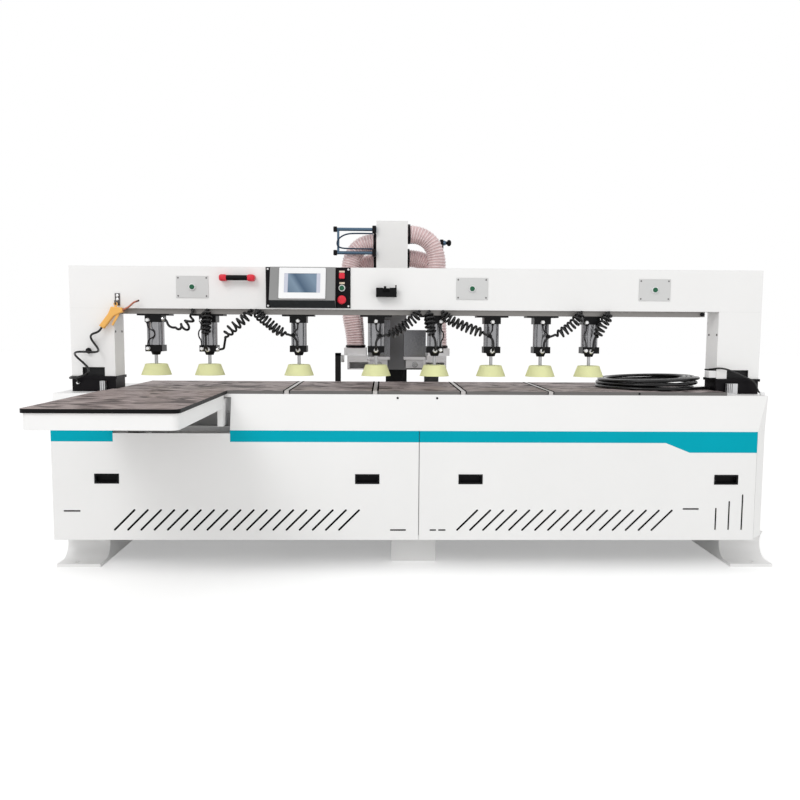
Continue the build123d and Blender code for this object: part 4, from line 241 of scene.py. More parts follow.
# Fittings of the controls
PLATE_SEAT = BEAM_FRONT - 0.0028
PLATE_X = (-1.040, 0.245, 1.094)
PLATE_Z = 1.277
PLATE_SCREW = 0.0036
PLATE_SCREW_X = 0.0645
PLATE_SCREW_Z = 0.041
PANEL_SEAT = BEAM_FRONT - 0.0038
PANEL_SCREW = 0.0048
PANEL_SCREW_X = (-0.6945, -0.3255)
PANEL_SCREW_Z = (1.1935, 1.3605)
LEGEND_X = (-0.3675, -0.3425)
LEGEND_Z = (1.3505, 1.2985)
LEGEND_HALF = 0.0045
LEGEND_RISE = 0.0025
HANDLE_END = 0.035
HANDLE_GROW = 0.003
HANDLE_CAP = 0.001
HANDLE_GAP = 0.0005
CRADLE_PRONGS = (
    ((-0.1105, -0.056, 1.262), (-0.1045, -0.044, 1.290)),
    ((-0.163, -0.058, 1.266), (-0.151, -0.046, 1.284)),
)

# Fittings of the base, table and portal; a seal is its inner edge, outer edge, bottom and top
COLUMN_KNOB = (-1.516, BEAM_FRONT + SINK, 0.983)
HOOK_SCREW_X = -1.382
HOOK_SCREW_Z = (1.236, 1.219)
COLUMN_INSIDE = 1.4
COLUMN_SCREW = 0.0055
COLUMN_SCREW_Y = (0.004, 0.092)
COLUMN_SCREW_Z = 1.071
RAIL_BOLT = (1.329, 0.012, 1.166)
DECK_SCREW = 0.0050
SLOPE_SCREWS = ((-0.098, -0.1192, 0.779), (0.081, -0.1192, 0.779))
SLOPE_WAY = (0, -0.970, 0.241)
EDGE_SCREW = (1.005, -0.1145, 0.802)
STOP_FRONT = BEAM_FRONT - 0.030
STOP_RIB_X = (-1.4575, -1.4475, 1.4465, 1.4550, 1.4640)
STOP_RIB_Z = (0.803, 0.845)
STOP_RIB_HALF = 0.0016
STOP_RIB_RISE = 0.001
STRIP_X = (-0.600, -0.200, 0.200, 0.600)
SEAL_LIP = (0.0090, 0.0162, -0.0004, 0.0008)
SEAL_BODY = (0.0102, 0.0148, -0.010, -0.0002)
# Black sheets behind the vents: painted shade that makes the slots look dark
SHADE_SHEET_X = ((-1.630, -0.020), (0.020, 1.530))
SHADE_SHEET_Z = (0.150, 0.372)
SHADE_SHEET_BEHIND = 0.012
SHADE_SHEET = 0.004

# Fittings of the head and carriage; a gate mount is its low (x, y), high (x, y) and half height
CLAMP_INSET = 0.002
GATE_Z = (1.620, 1.496)
GATE_FOOT = ((-0.226, 0.599), (-0.2045, 0.634), 0.020)
GATE_END = ((-0.434, 0.600), (-0.414, 0.626), 0.014)
ROD_MOUNT = ((0.146, 0.727, 1.532), (0.166, 0.759, 1.584))
PULL_KNOB = (0.182, 0.743, 1.566)
POST_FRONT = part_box("carriage_saddle")[0].y
POST_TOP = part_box("carriage_saddle")[1].z
POST_CAP_X = (-0.4255, -0.3935)
POST_CAP_DEPTH = 0.030
POST_CAP_HEIGHT = 0.017
SENSOR_Y = (0.004, 0.034)
SENSOR_REACH = 0.015
SENSOR_Z = (0.908, 0.948)


# Camera, light and floor


def make_camera():
    """The photograph's camera, from its place and its turns about the three axes."""
    forward = Vector((
        math.sin(CAMERA_YAW) * math.cos(CAMERA_PITCH),
        math.cos(CAMERA_YAW) * math.cos(CAMERA_PITCH),
        -math.sin(CAMERA_PITCH),
    ))
    level = Vector((math.cos(CAMERA_YAW), -math.sin(CAMERA_YAW), 0))
    up = level.cross(forward)
    right = level * math.cos(CAMERA_ROLL) + up * math.sin(CAMERA_ROLL)
    top = up * math.cos(CAMERA_ROLL) - level * math.sin(CAMERA_ROLL)
    data = bpy.data.cameras.new("camera")
    data.lens = CAMERA_LENS
    data.sensor_width = FILM_WIDTH
    camera = bpy.data.objects.new("camera", data)
    turn = Matrix((right, top, -forward)).transposed().to_4x4()
    camera.matrix_world = Matrix.Translation(CAMERA_PLACE) @ turn
    bpy.context.scene.collection.objects.link(camera)
    bpy.context.scene.camera = camera


def make_light(name, place, target, size, power):
    """A square lamp that looks at a target."""
    data = bpy.data.lights.new(name, "AREA")
    data.shape = "SQUARE"
    data.size = size
    data.energy = power
    light = bpy.data.objects.new(name, data)
    aim = (Vector(target) - Vector(place)).to_track_quat("-Z", "Y")
    light.matrix_world = Matrix.Translation(place) @ aim.to_matrix().to_4x4()
    bpy.context.scene.collection.objects.link(light)


def seen_directly(tree):
    """One for what the camera sees itself, through glass or in a mirror-like surface."""
    paths = tree.nodes.new("ShaderNodeLightPath")
    total = paths.outputs["Is Camera Ray"]
    for name in ("Is Glossy Ray", "Is Transmission Ray"):
        both = tree.nodes.new("ShaderNodeMath")
        both.operation = "MAXIMUM"
        tree.links.new(total, both.inputs[0])
        tree.links.new(paths.outputs[name], both.inputs[1])
        total = both.outputs["Value"]
    return total


def make_world():
    """A white surround that lights the object a little less than it shows."""
    world = bpy.data.worlds.new("studio")
    world.use_nodes = True
    tree = world.node_tree
    background = tree.nodes["Background"]
    background.inputs["Color"].default_value = (1, 1, 1, 1)
    strength = tree.nodes.new("ShaderNodeMapRange")
    strength.inputs["To Min"].default_value = SKY_LIGHT
    strength.inputs["To Max"].default_value = 1.0
    tree.links.new(seen_directly(tree), strength.inputs["Value"])
    tree.links.new(strength.outputs["Result"], background.inputs["Strength"])
    bpy.context.scene.world = world


def make_floor():
    """A pale floor that keeps the shadow and melts into the surround."""
    mesh = bpy.data.meshes.new("floor")
    corners = [(x * FLOOR_REACH, y * FLOOR_REACH, 0) for x, y in ((-1, -1), (1, -1), (1, 1), (-1, 1))]
    mesh.from_pydata(corners, [], [(0, 1, 2, 3)])
    floor = bpy.data.objects.new("floor", mesh)
    bpy.context.scene.collection.objects.link(floor)
    material = finish("floor_pale", (0.90, 0.90, 0.895), 0.8, mottle=0.01)
    tree = material.node_tree
    shader = tree.nodes["Principled BSDF"]
    lift = tree.nodes.new("ShaderNodeMapRange")
    lift.inputs["To Max"].default_value = FLOOR_LIFT
    tree.links.new(seen_directly(tree), lift.inputs["Value"])
    shader.inputs["Emission Color"].default_value = (1, 1, 1, 1)
    tree.links.new(lift.outputs["Result"], shader.inputs["Emission Strength"])
    mesh.materials.append(material)


def make_stage():
    """All that stands round the object."""
    bpy.context.scene.view_settings.view_transform = "Standard"
    make_camera()
    make_world()
    make_light("key", KEY_PLACE, KEY_AIM, KEY_SIZE, KEY_POWER)
    make_light("fill", FILL_PLACE, FILL_AIM, FILL_SIZE, FILL_POWER)
    make_floor()


# Materials


def new_material(name):
    """An empty material with its tree and shader."""
    material = bpy.data.materials.new(name)
    material.use_nodes = True
    tree = material.node_tree
    return material, tree, tree.nodes["Principled BSDF"]


def noise(tree, scale, detail=3.0, stretch=(1, 1, 1), distortion=0.0):
    """A noise pattern fixed to the object, stretched along the axes."""
    coordinates = tree.nodes.new("ShaderNodeTexCoord")
    mapping = tree.nodes.new("ShaderNodeMapping")
    mapping.inputs["Scale"].default_value = stretch
    tree.links.new(coordinates.outputs["Object"], mapping.inputs["Vector"])
    texture = tree.nodes.new("ShaderNodeTexNoise")
    texture.inputs["Scale"].default_value = scale
    texture.inputs["Detail"].default_value = detail
    texture.inputs["Distortion"].default_value = distortion
    tree.links.new(mapping.outputs["Vector"], texture.inputs["Vector"])
    return texture.outputs["Fac"]


def ramp(tree, value, stops):
    """Colours along a value, as (place, colour) stops."""
    node = tree.nodes.new("ShaderNodeValToRGB")
    elements = node.color_ramp.elements
    while len(elements) < len(stops):
        elements.new(0.5)
    for element, (place, colour) in zip(elements, stops):
        element.position = place
        element.color = (*colour, 1)
    tree.links.new(value, node.inputs["Fac"])
    return node.outputs["Color"]


def spread(tree, value, low, high):
    """A pattern's middle range mapped to a range of values."""
    node = tree.nodes.new("ShaderNodeMapRange")
    node.inputs["From Min"].default_value = 0.3
    node.inputs["From Max"].default_value = 0.7
    node.inputs["To Min"].default_value = low
    node.inputs["To Max"].default_value = high
    tree.links.new(value, node.inputs["Value"])
    return node.outputs["Result"]


def soft_edges(tree, radius):
    """The normal of a surface whose edges are rounded a little."""
    node = tree.nodes.new("ShaderNodeBevel")
    node.samples = EDGE_SAMPLES
    node.inputs["Radius"].default_value = radius
    return node.outputs["Normal"]


def blend_colour(tree, factor, colour, other):
    """A colour that goes over to another, plain one with a factor."""
    node = tree.nodes.new("ShaderNodeMix")
    node.data_type = "RGBA"
    tree.links.new(factor, node.inputs["Factor"])
    tree.links.new(colour, node.inputs["A"])
    node.inputs["B"].default_value = (*other, 1)
    return node.outputs["Result"]


def relief(tree, shader, height, strength, distance, edge=SOFT_EDGE):
    """Surface relief over edges that are slightly rounded."""
    normal = soft_edges(tree, edge)
    node = tree.nodes.new("ShaderNodeBump")
    node.inputs["Strength"].default_value = strength
    node.inputs["Distance"].default_value = distance
    tree.links.new(height, node.inputs["Height"])
    tree.links.new(normal, node.inputs["Normal"])
    tree.links.new(node.outputs["Normal"], shader.inputs["Normal"])


def worn_edges(tree, colour, worn):
    """The colour, changed to a worn one along outer edges."""
    normal = soft_edges(tree, WORN_EDGE)
    geometry = tree.nodes.new("ShaderNodeNewGeometry")
    dot = tree.nodes.new("ShaderNodeVectorMath")
    dot.operation = "DOT_PRODUCT"
    tree.links.new(normal, dot.inputs[0])
    tree.links.new(geometry.outputs["Normal"], dot.inputs[1])
    mask = tree.nodes.new("ShaderNodeMapRange")
    mask.inputs["From Min"].default_value = 0.99
    mask.inputs["From Max"].default_value = 0.80
    mask.inputs["To Max"].default_value = 0.6
    tree.links.new(dot.outputs["Value"], mask.inputs["Value"])
    return blend_colour(tree, mask.outputs["Result"], colour, worn)


def shade(colour, share):
    """A colour made lighter or darker."""
    return tuple(min(1.0, max(0.0, part * share)) for part in colour)


def finish(name, colour, roughness, metallic=0.0, mottle=0.05, mottle_scale=2.5, grain=0.06,
           grain_scale=420, stretch=(1, 1, 1), worn=None, edge=SOFT_EDGE, specular=0.5):
    """A painted, moulded or machined surface with mottled colour, uneven gloss and fine relief."""
    material, tree, shader = new_material(name)
    broad = noise(tree, mottle_scale, detail=4.0)
    fine = noise(tree, grain_scale, detail=2.0, stretch=stretch)
    tint = ramp(tree, broad, [(0.3, shade(colour, 1 - mottle)), (0.7, shade(colour, 1 + mottle))])
    if worn:
        tint = worn_edges(tree, tint, worn)
    tree.links.new(tint, shader.inputs["Base Color"])
    gloss = spread(tree, fine, max(0.02, roughness - 0.05), min(1.0, roughness + 0.07))
    tree.links.new(gloss, shader.inputs["Roughness"])
    shader.inputs["Metallic"].default_value = metallic
    shader.inputs["Specular IOR Level"].default_value = specular
    relief(tree, shader, fine, grain, GRAIN_DEPTH, edge)
    return material


def board_finish(name, light, middle, dark):
    """Laminated board with wavy grain along x."""
    material, tree, shader = new_material(name)
    grain = noise(tree, 1.0, detail=6.0, stretch=BOARD_GRAIN, distortion=1.2)
    fine = noise(tree, 4.0, stretch=BOARD_FIBRE, distortion=0.4)
    joined = tree.nodes.new("ShaderNodeMix")
    joined.inputs["Factor"].default_value = 0.22
    tree.links.new(grain, joined.inputs["A"])
    tree.links.new(fine, joined.inputs["B"])
    value = joined.outputs["Result"]
    tint = ramp(tree, value, [(0.42, dark), (0.46, middle), (0.51, light), (0.55, middle), (0.60, dark)])
    tree.links.new(tint, shader.inputs["Base Color"])
    tree.links.new(spread(tree, fine, 0.46, 0.62), shader.inputs["Roughness"])
    shader.inputs["Specular IOR Level"].default_value = 0.06
    relief(tree, shader, value, 0.15, BOARD_DEPTH)
    return material


def screen_finish(name):
    """A blue panel under glass, paler across its middle in diagonal bands of painted reflection, with a pale
    bar at each side.
    """
    material, tree, shader = new_material(name)
    coordinates = tree.nodes.new("ShaderNodeTexCoord")
    mapping = tree.nodes.new("ShaderNodeMapping")
    mapping.inputs["Rotation"].default_value = (0, math.radians(24), 0)
    tree.links.new(coordinates.outputs["Generated"], mapping.inputs["Vector"])
    gradient = tree.nodes.new("ShaderNodeTexGradient")
    tree.links.new(mapping.outputs["Vector"], gradient.inputs["Vector"])
    deep = (0.07, 0.12, 0.19)
    reflection_blue = (0.20, 0.28, 0.37)
    # The paler bands along the tilted gradient are a painted reflection on the glass
    blue = ramp(tree, gradient.outputs["Color"], [(0.1, deep), (0.5, reflection_blue), (0.62, deep), (0.9, reflection_blue)])
    parts = tree.nodes.new("ShaderNodeSeparateXYZ")
    tree.links.new(coordinates.outputs["Generated"], parts.inputs["Vector"])
    bars = ramp(tree, parts.outputs["X"], [
        (0.190, (1, 1, 1)), (0.195, (0, 0, 0)), (0.805, (0, 0, 0)), (0.810, (1, 1, 1)),
    ])
    tint = blend_colour(tree, bars, blue, (0.60, 0.62, 0.72))
    tree.links.new(tint, shader.inputs["Base Color"])
    tree.links.new(spread(tree, noise(tree, 60), 0.10, 0.16), shader.inputs["Roughness"])
    shader.inputs["Specular IOR Level"].default_value = 0.25
    return material


WHITE = finish("white_powder_coat", (0.91, 0.906, 0.898), 0.42, mottle=0.012, worn=(0.70, 0.70, 0.69))
FRAME_GREY = finish("frame_grey", (0.52, 0.52, 0.52), 0.5, mottle=0.03, worn=(0.36, 0.36, 0.36))
GREY = finish("grey_powder_coat", (0.30, 0.30, 0.31), 0.45, worn=(0.45, 0.45, 0.45), specular=0.3)
DARK_GREY = finish("dark_grey_coat", (0.020, 0.020, 0.021), 0.45, worn=(0.08, 0.08, 0.08), specular=0.15)
PLATE_GREY = finish("plate_grey", (0.66, 0.66, 0.655), 0.45, mottle=0.03, worn=(0.45, 0.45, 0.45))
PALE_GREY = finish("pale_grey_coat", (0.90, 0.89, 0.90), 0.42, mottle=0.03, worn=(0.6, 0.6, 0.6))
HOUSING = finish("housing_grey", (0.27, 0.27, 0.27), 0.5, worn=(0.42, 0.42, 0.42), specular=0.3)
# Darker copy of the housing grey for its downward faces: painted shade
HOUSING_SHADE = finish("housing_painted_shade", (0.030, 0.034, 0.037), 0.5, specular=0.15)
TEAL = finish("teal_coat", (0.001, 0.40, 0.51), 0.4, mottle=0.03, specular=0.04)
BLACK_PAINT = finish("black_paint", (0.0055, 0.0045, 0.0060), 0.38, worn=(0.03, 0.03, 0.03), specular=0.12)
BLACK_PLASTIC = finish("black_plastic", (0.0050, 0.0050, 0.0055), 0.45, grain=0.12, specular=0.10)
SEAL = finish("seal_rubber", (0.0035, 0.0035, 0.0035), 0.85, specular=0.0)
BLACK_ALLOY = finish("black_anodised", (0.0055, 0.0055, 0.0060), 0.34, worn=(0.05, 0.05, 0.05), specular=0.14)
ALLOY = finish("brushed_alloy", (0.60, 0.60, 0.61), 0.36, metallic=0.8, stretch=(0.02, 1, 1),
               worn=(0.8, 0.8, 0.8))
BARREL = finish("barrel_alloy", (0.30, 0.30, 0.31), 0.20, metallic=0.95, stretch=(1, 1, 0.02))
RAIL_ALLOY = finish("rail_alloy", (0.24, 0.23, 0.22), 0.42, metallic=0.7, stretch=(0.02, 1, 1))
STEEL = finish("bare_steel", (0.42, 0.42, 0.43), 0.3, metallic=1.0, stretch=(1, 1, 0.05))
DARK_STEEL = finish("dark_steel", (0.10, 0.095, 0.095), 0.35, metallic=0.8, worn=(0.35, 0.35, 0.35))
STRIP = finish("strip_alloy", (0.52, 0.50, 0.49), 0.4, metallic=0.3, stretch=(1, 0.02, 1))
PAD = finish("soft_pad", (0.84, 0.86, 0.46), 0.72, mottle=0.05, mottle_scale=14, grain=0.3, grain_scale=260,
             edge=0.002, specular=0.3)
HOSE_BLACK = finish("hose_black", (0.0035, 0.0035, 0.0040), 0.22, grain=0.03, specular=0.40)
CABLE_BLACK = finish("cable_jacket", (0.0050, 0.0050, 0.0055), 0.22, grain=0.04, specular=0.45)
HOSE_BLUE = finish("hose_blue", (0.008, 0.030, 0.065), 0.3, grain=0.03, specular=0.3)
FILM = finish("duct_film", (0.72, 0.52, 0.52), 0.30, mottle=0.12, mottle_scale=22, grain=0.35,
              grain_scale=130)
FILM_RIB = finish("duct_rib", (0.90, 0.76, 0.76), 0.30, mottle=0.08, mottle_scale=30)
ORANGE = finish("gun_orange", (0.92, 0.50, 0.13), 0.45, mottle=0.04, grain=0.1, specular=0.3)
COPPER = finish("nozzle_copper", (0.50, 0.17, 0.11), 0.35, metallic=0.6)
RED = finish("signal_red", (0.72, 0.018, 0.040), 0.32, specular=0.4)
GREEN = finish("signal_green", (0.004, 0.11, 0.046), 0.30, specular=0.4)
BRIGHT = finish("bright_plating", (0.80, 0.80, 0.80), 0.22, metallic=0.8)
WHITE_PLASTIC = finish("white_plastic", (0.88, 0.88, 0.885), 0.4, grain=0.08)
CREAM = finish("cream_plate", (0.78, 0.66, 0.50), 0.5)
BAR_STEEL = finish("gate_bar", (0.08, 0.14, 0.21), 0.30, metallic=0.5, stretch=(0.02, 1, 1))
MOTOR = finish("motor_grey", (0.055, 0.056, 0.058), 0.40, worn=(0.2, 0.2, 0.2), specular=0.4)
MOTOR_ALLOY = finish("motor_alloy", (0.17, 0.17, 0.18), 0.22, metallic=0.9, worn=(0.5, 0.5, 0.5))
EDGE = finish("board_edge", (0.15, 0.145, 0.14), 0.5, stretch=(0.02, 1, 1), specular=0.25)
SCREEN = screen_finish("screen_glass")
BOARD = board_finish("table_board", (0.50, 0.430, 0.420), (0.33, 0.279, 0.272), (0.085, 0.070, 0.068))
SIDE_BOARD = board_finish("side_board", (0.42, 0.350, 0.335), (0.26, 0.211, 0.202), (0.070, 0.055, 0.052))

make_stage()


# Shapes


def add_object(name, data, material, body):
    """A new piece with its one or more materials, on its body."""
    obj = bpy.data.objects.new(name, data)
    bpy.context.scene.collection.objects.link(obj)
    for one in material if isinstance(material, (list, tuple)) else (material,):
        data.materials.append(one)
    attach(obj, body)
    return obj


def add_mesh(name, mesh, material, body, angle=0.6):
    """A finished mesh, smooth except over sharp edges."""
    data = bpy.data.meshes.new(name)
    mesh.to_mesh(data)
    mesh.free()
    for polygon in data.polygons:
        polygon.use_smooth = True
    data.set_sharp_from_angle(angle=angle)
    return add_object(name, data, material, body)


def smooth_curve(name, points, resolution):
    """A curve of one smooth spline that some control points shape."""
    data = bpy.data.curves.new(name, "CURVE")
    data.dimensions = "3D"
    spline = data.splines.new("NURBS")
    spline.points.add(len(points) - 1)
    for point, place in zip(spline.points, points):
        point.co = (*place, 1)
    spline.order_u = 3
    spline.use_endpoint_u = True
    spline.resolution_u = resolution
    return data


def add_curve(name, points, diameter, material, body):
    """A round cord on one smooth spline."""
    data = smooth_curve(name, points, resolution=6)
    data.bevel_depth = diameter / 2
    data.bevel_resolution = 4
    data.use_fill_caps = True
    return add_object(name, data, material, body)


def read_route(points, resolution=40):
    """Points read off the smooth spline that a route's points shape."""
    data = smooth_curve("route", points, resolution)
    obj = bpy.data.objects.new("route", data)
    mesh = bpy.data.meshes.new_from_object(obj)
    places = [vertex.co.copy() for vertex in mesh.vertices]
    bpy.data.meshes.remove(mesh)
    bpy.data.objects.remove(obj)
    bpy.data.curves.remove(data)
    return places


def route_frames(places, side):
    """The tangent, normal and cross direction at each point of a line."""
    frames = []
    normal = Vector(side)
    last = len(places) - 1
    for index in range(len(places)):
        ahead = places[min(last, index + 1)] - places[max(0, index - 1)]
        tangent = ahead.normalized()
        normal = (normal - tangent * normal.dot(tangent)).normalized()
        frames.append((tangent, normal, tangent.cross(normal)))
    return frames


def curl(points, radius, turns, side, ease=1.0, wound=1.0):
    """Control points that wind round the first share of a route, drawn in to it at both ends."""
    places = read_route(points, resolution=160)
    frames = route_frames(places, side)
    last = len(places) - 1
    count = turns * CURL_POINTS
    wide = radius / math.cos(math.pi / CURL_POINTS)
    steps = [wound * step / count for step in range(count + 1)]
    if wound < 1:
        steps += [wound + (1 - wound) * step / TAIL_POINTS for step in range(1, TAIL_POINTS + 1)]
    line = []
    for t in steps:
        index = min(int(t * last), last - 1)
        middle = places[index].lerp(places[index + 1], t * last - index)
        tangent, normal, cross = frames[index]
        done = min(1, t / wound)
        swell = math.sin(min(1, done * turns / ease, (1 - done) * turns / ease) * math.pi / 2) ** 2
        angle = 2 * math.pi * turns * done
        around = normal * math.cos(angle) + cross * math.sin(angle)
        line.append(middle + around * wide * swell)
    return line


def line_length(points):
    """The length of the smooth spline that some control points shape."""
    places = read_route(points)
    return sum((after - before).length for before, after in zip(places, places[1:]))


def close_tube(mesh, rings):
    """Walls between rings of corners and a lid at both ends, with the walls given row by row."""
    rows = []
    for low, high in zip(rings, rings[1:]):
        pairs = list(zip(low, high))
        following = pairs[1:] + pairs[:1]
        rows.append([mesh.faces.new((a, c, d, b)) for (a, b), (c, d) in zip(pairs, following)])
    mesh.faces.new(list(reversed(rings[0])))
    mesh.faces.new(rings[-1])
    return rows


def turned(name, profile, places, material, body, sides=28):
    """Lathe-turned pieces of one (radius, height) profile, each at a foot point along an axis."""
    mesh = bmesh.new()
    for foot, axis in places:
        turn = Vector((0, 0, 1)).rotation_difference(Vector(axis)).to_matrix().to_4x4()
        set_in = Matrix.Translation(foot) @ turn
        rings = []
        for radius, height in profile:
            ring = []
            for side in range(sides):
                angle = 2 * math.pi * side / sides
                corner = Vector((radius * math.cos(angle), radius * math.sin(angle), height))
                ring.append(mesh.verts.new(set_in @ corner))
            rings.append(ring)
        close_tube(mesh, rings)
    return add_mesh(name, mesh, material, body)


def slab(name, boxes, radius, material, body):
    """Blocks with rounded edges, each by its low and high corners."""
    mesh = bmesh.new()
    for low, high in boxes:
        made = bmesh.ops.create_cube(mesh, size=1)["verts"]
        size = [high[axis] - low[axis] for axis in range(3)]
        middle = [(high[axis] + low[axis]) / 2 for axis in range(3)]
        bmesh.ops.scale(mesh, vec=size, verts=made)
        bmesh.ops.translate(mesh, vec=middle, verts=made)
        edges = {edge for vert in made for edge in vert.link_edges}
        bmesh.ops.bevel(mesh, geom=list(edges), offset=radius, segments=3, profile=0.5, affect="EDGES")
    return add_mesh(name, mesh, material, body, angle=0.9)


def paint(node, material):
    """Give a CAD node its material."""
    data = nodes[node].data
    data.materials.clear()
    data.materials.append(material)


def paint_where(node, material, test):
    """Give another material to the faces of a CAD node that pass a test."""
    data = nodes[node].data
    index = len(data.materials)
    data.materials.append(material)
    for face in data.polygons:
        if test(face):
            face.material_index = index


# Cords


def hose_end(plan):
    """The end of a curly hose on its cylinder's cap, and the way out of the cap."""
    if plan.side:
        return (PRESS_X[plan.cap] + plan.side * CAP_HALF, AIR_SIDE_Y, plan.height), (plan.side, 0, 0)
    return (PRESS_X[plan.cap], CAP_FRONT, plan.height), (0, -1, 0)


def air_hoses():
    """Curly hoses from the beam to the cylinders."""
    for number, plan in enumerate(AIR_HOSES, 1):
        route = [(plan.start, AIR_START_Y, BEAM_BOTTOM)]
        route += [(x, BEAM_MIDDLE - out, RAIL_BOTTOM - drop) for x, out, drop in plan.corners]
        route.append(hose_end(plan)[0])
        wound = 1 - TAIL_SPANS / (len(route) - 2)
        points = curl(route, AIR_CURL, plan.turns, (0, 1, 0), AIR_EASE, wound)
        hose = add_curve(f"air_hose_{number}", points, AIR_TUBE, HOSE_BLACK, "base")
        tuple(route[0])
        if number == 1:
            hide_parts("air_hoses")


def gun_hose():
    """The curly hose of the blow gun."""
    points = curl(GUN_ROUTE, GUN_CURL, GUN_TURNS, (1, 0, 0))
    hose = add_curve("blow_gun_hose", points, GUN_HOSE, HOSE_BLACK, "base")
    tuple(GUN_ROUTE[0])
    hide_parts("gun_hose")


def coil_point(t):
    """A point of the cable's coil, wound in layers that spiral in and out and lie loosely on each other."""
    layer_turns = COIL_LOOPS + COIL_CLIMB
    done = t * COIL_TURNS
    layer = min(int(done / layer_turns), COIL_LAYERS - 1)
    within = done - layer * layer_turns
    share = min(within, COIL_LOOPS) / COIL_LOOPS
    inward = share if layer % 2 == 0 else 1 - share
    climb = max(0, within - COIL_LOOPS) / COIL_CLIMB
    climb = climb * climb * (3 - 2 * climb)
    squeeze = COIL_SQUEEZE * (climb if layer % 2 == 0 else 1 - climb)
    across = LEAD_BEND.x - COIL_CENTRE[0]
    along = LEAD_BEND.y - COIL_CENTRE[1]
    start = math.atan2(along, across) - math.acos(COIL_RADIUS / math.hypot(across, along))
    angle = start - 2 * math.pi * done
    radius = COIL_RADIUS - COIL_STEP * COIL_LOOPS * inward
    radius *= 1 + squeeze * math.cos(2 * (angle - start))
    height = (layer + climb) * (COIL_RISE + COIL_LIFT * (1 + math.cos(angle)) / 2)
    drift = COIL_DRIFT * math.sin(COIL_SWAY * done)
    lean = COIL_LEAN * (layer + climb)
    x = COIL_CENTRE[0] + radius * math.cos(angle) + drift - lean * math.sin(start)
    y = COIL_CENTRE[1] + radius * math.sin(angle) - drift + lean * math.cos(start)
    return Vector((x, y, CABLE_LOW + height))


def power_cable():
    """The cable from the right column, with its loose coil on the table and its sleeve."""
    count = round(COIL_TURNS * CURL_POINTS)
    points = [LEAD_START, LEAD_BEND] + [coil_point(step / count) for step in range(count + 1)]
    cable = add_curve("power_cable", points, CABLE, CABLE_BLACK, "base")
    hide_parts("power_cable_coil", "power_cable_lead")
    sleeve = [
        (0.0118, 0), (0.0118, 0.005), (0.0092, 0.008), (0.0078, 0.012), (0.0073, 0.040), (0.0071, 0.042),
    ]
    turned("power_cable_relief", sleeve, [(LEAD_START, (-1, 0, 0))], BLACK_PLASTIC, "base")


def thin_cord(name, points, diameter, material, body):
    """A thin tube or lead on one smooth spline."""
    cord = add_curve(name, points, diameter, material, body)
    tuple(points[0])
    line_length(points)


def thin_tubes():
    """Thin air tubes from the upper caps, to the lower caps or to tees on the hoses, and their elbows."""
    heads = []
    outlets = []
    sleeves = []
    stubs = []
    for number, (x, bow) in enumerate(CAP_TUBES, 1):
        for z, way in ((ELBOW_TOP, -1), (ELBOW_FOOT, 1)):
            heads.append(((x, CAP_FRONT + SINK, z), (0, -1, 0)))
            outlets.append(((x, ELBOW_Y, z), (0, 0, way)))
        points = [
            (x, ELBOW_Y, ELBOW_TOP - ELBOW_REACH),
            (x, ELBOW_Y, ELBOW_TOP - 0.038),
            (x + bow, ELBOW_Y - 0.004, ELBOW_TOP - 0.050),
            (x + bow, ELBOW_Y - 0.004, ELBOW_FOOT + 0.054),
            (x, ELBOW_Y, ELBOW_FOOT + 0.040),
            (x, ELBOW_Y, ELBOW_FOOT + ELBOW_REACH),
        ]
        name = f"cap_tube_{number}"
        thin_cord(name, points, THIN_TUBE, HOSE_BLACK, "base")
    for number, (x, side) in enumerate(TEE_TUBES, 1):
        heads.append(((x, CAP_FRONT + SINK, ELBOW_TOP), (0, -1, 0)))
        outlets.append(((x, ELBOW_Y, ELBOW_TOP), (0, 0, -1)))
        tee = Vector((x + side * TEE_ASIDE, TEE_Y, TEE_Z))
        sleeves.append((tee - Vector((side * TEE_HALF, 0, -TEE_RISE)), (side, 0, TEE_TILT)))
        stubs.append((tee, (0, 0, 1)))
        points = [
            (x, ELBOW_Y, ELBOW_TOP - ELBOW_REACH),
            (x, ELBOW_Y, ELBOW_TOP - 0.040),
            (x + side * 0.012, -0.022, ELBOW_TOP - 0.048),
            (tee.x, tee.y, tee.z + TEE_REACH),
        ]
        name = f"tee_tube_{number}"
        thin_cord(name, points, THIN_TUBE, HOSE_BLACK, "base")
    elbow = [
        (0.0082, 0), (0.0082, 0.003), (0.0098, 0.004), (0.0098, 0.008), (0.0086, 0.009), (0.0086, 0.017),
        (0.0066, 0.019),
    ]
    turned("elbow_bodies", elbow, heads, BRIGHT, "base", 24)
    outlet = [(0.0056, 0), (0.0056, 0.011), (0.0066, 0.0115), (0.0066, 0.0145), (0.0052, 0.0155)]
    turned("elbow_outlets", outlet, outlets, BLACK_PLASTIC, "base", 20)
    sleeve = [(0.0062, 0), (0.0076, 0.001), (0.0076, 0.019), (0.0062, 0.020)]
    turned("tee_sleeves", sleeve, sleeves, BLACK_PLASTIC, "base", 20)
    stub = [(0.0056, 0), (0.0056, 0.010), (0.0066, 0.0105), (0.0066, 0.0135), (0.0052, 0.0145)]
    turned("tee_stubs", stub, stubs, BLACK_PLASTIC, "base", 20)


def hose_collars():
    """Nuts where the curly hoses begin and end, and at the end of the gun's hose."""
    nut = [(0.0078, 0), (0.0078, 0.009), (0.0070, 0.010), (0.0070, 0.014), (0.0062, 0.016)]
    starts = [((plan.start, AIR_START_Y, BEAM_BOTTOM + SINK), (0, 0, -1)) for plan in AIR_HOSES]
    turned("hose_nuts", nut, starts, BLACK_PAINT, "base", 6)
    turned("gun_hose_nut", nut, [(GUN_ROUTE[-1], (0, -1, 0))], BRIGHT, "base", 6)
    collar = [
        (0.0100, 0), (0.0100, 0.002), (0.0112, 0.003), (0.0112, 0.008), (0.0098, 0.009), (0.0080, 0.013),
        (0.0064, 0.014),
    ]
    ends = []
    for end, way in map(hose_end, AIR_HOSES):
        ends.append((Vector(end) - SINK * Vector(way), way))
    turned("hose_collars", collar, ends, BRIGHT, "base", 24)


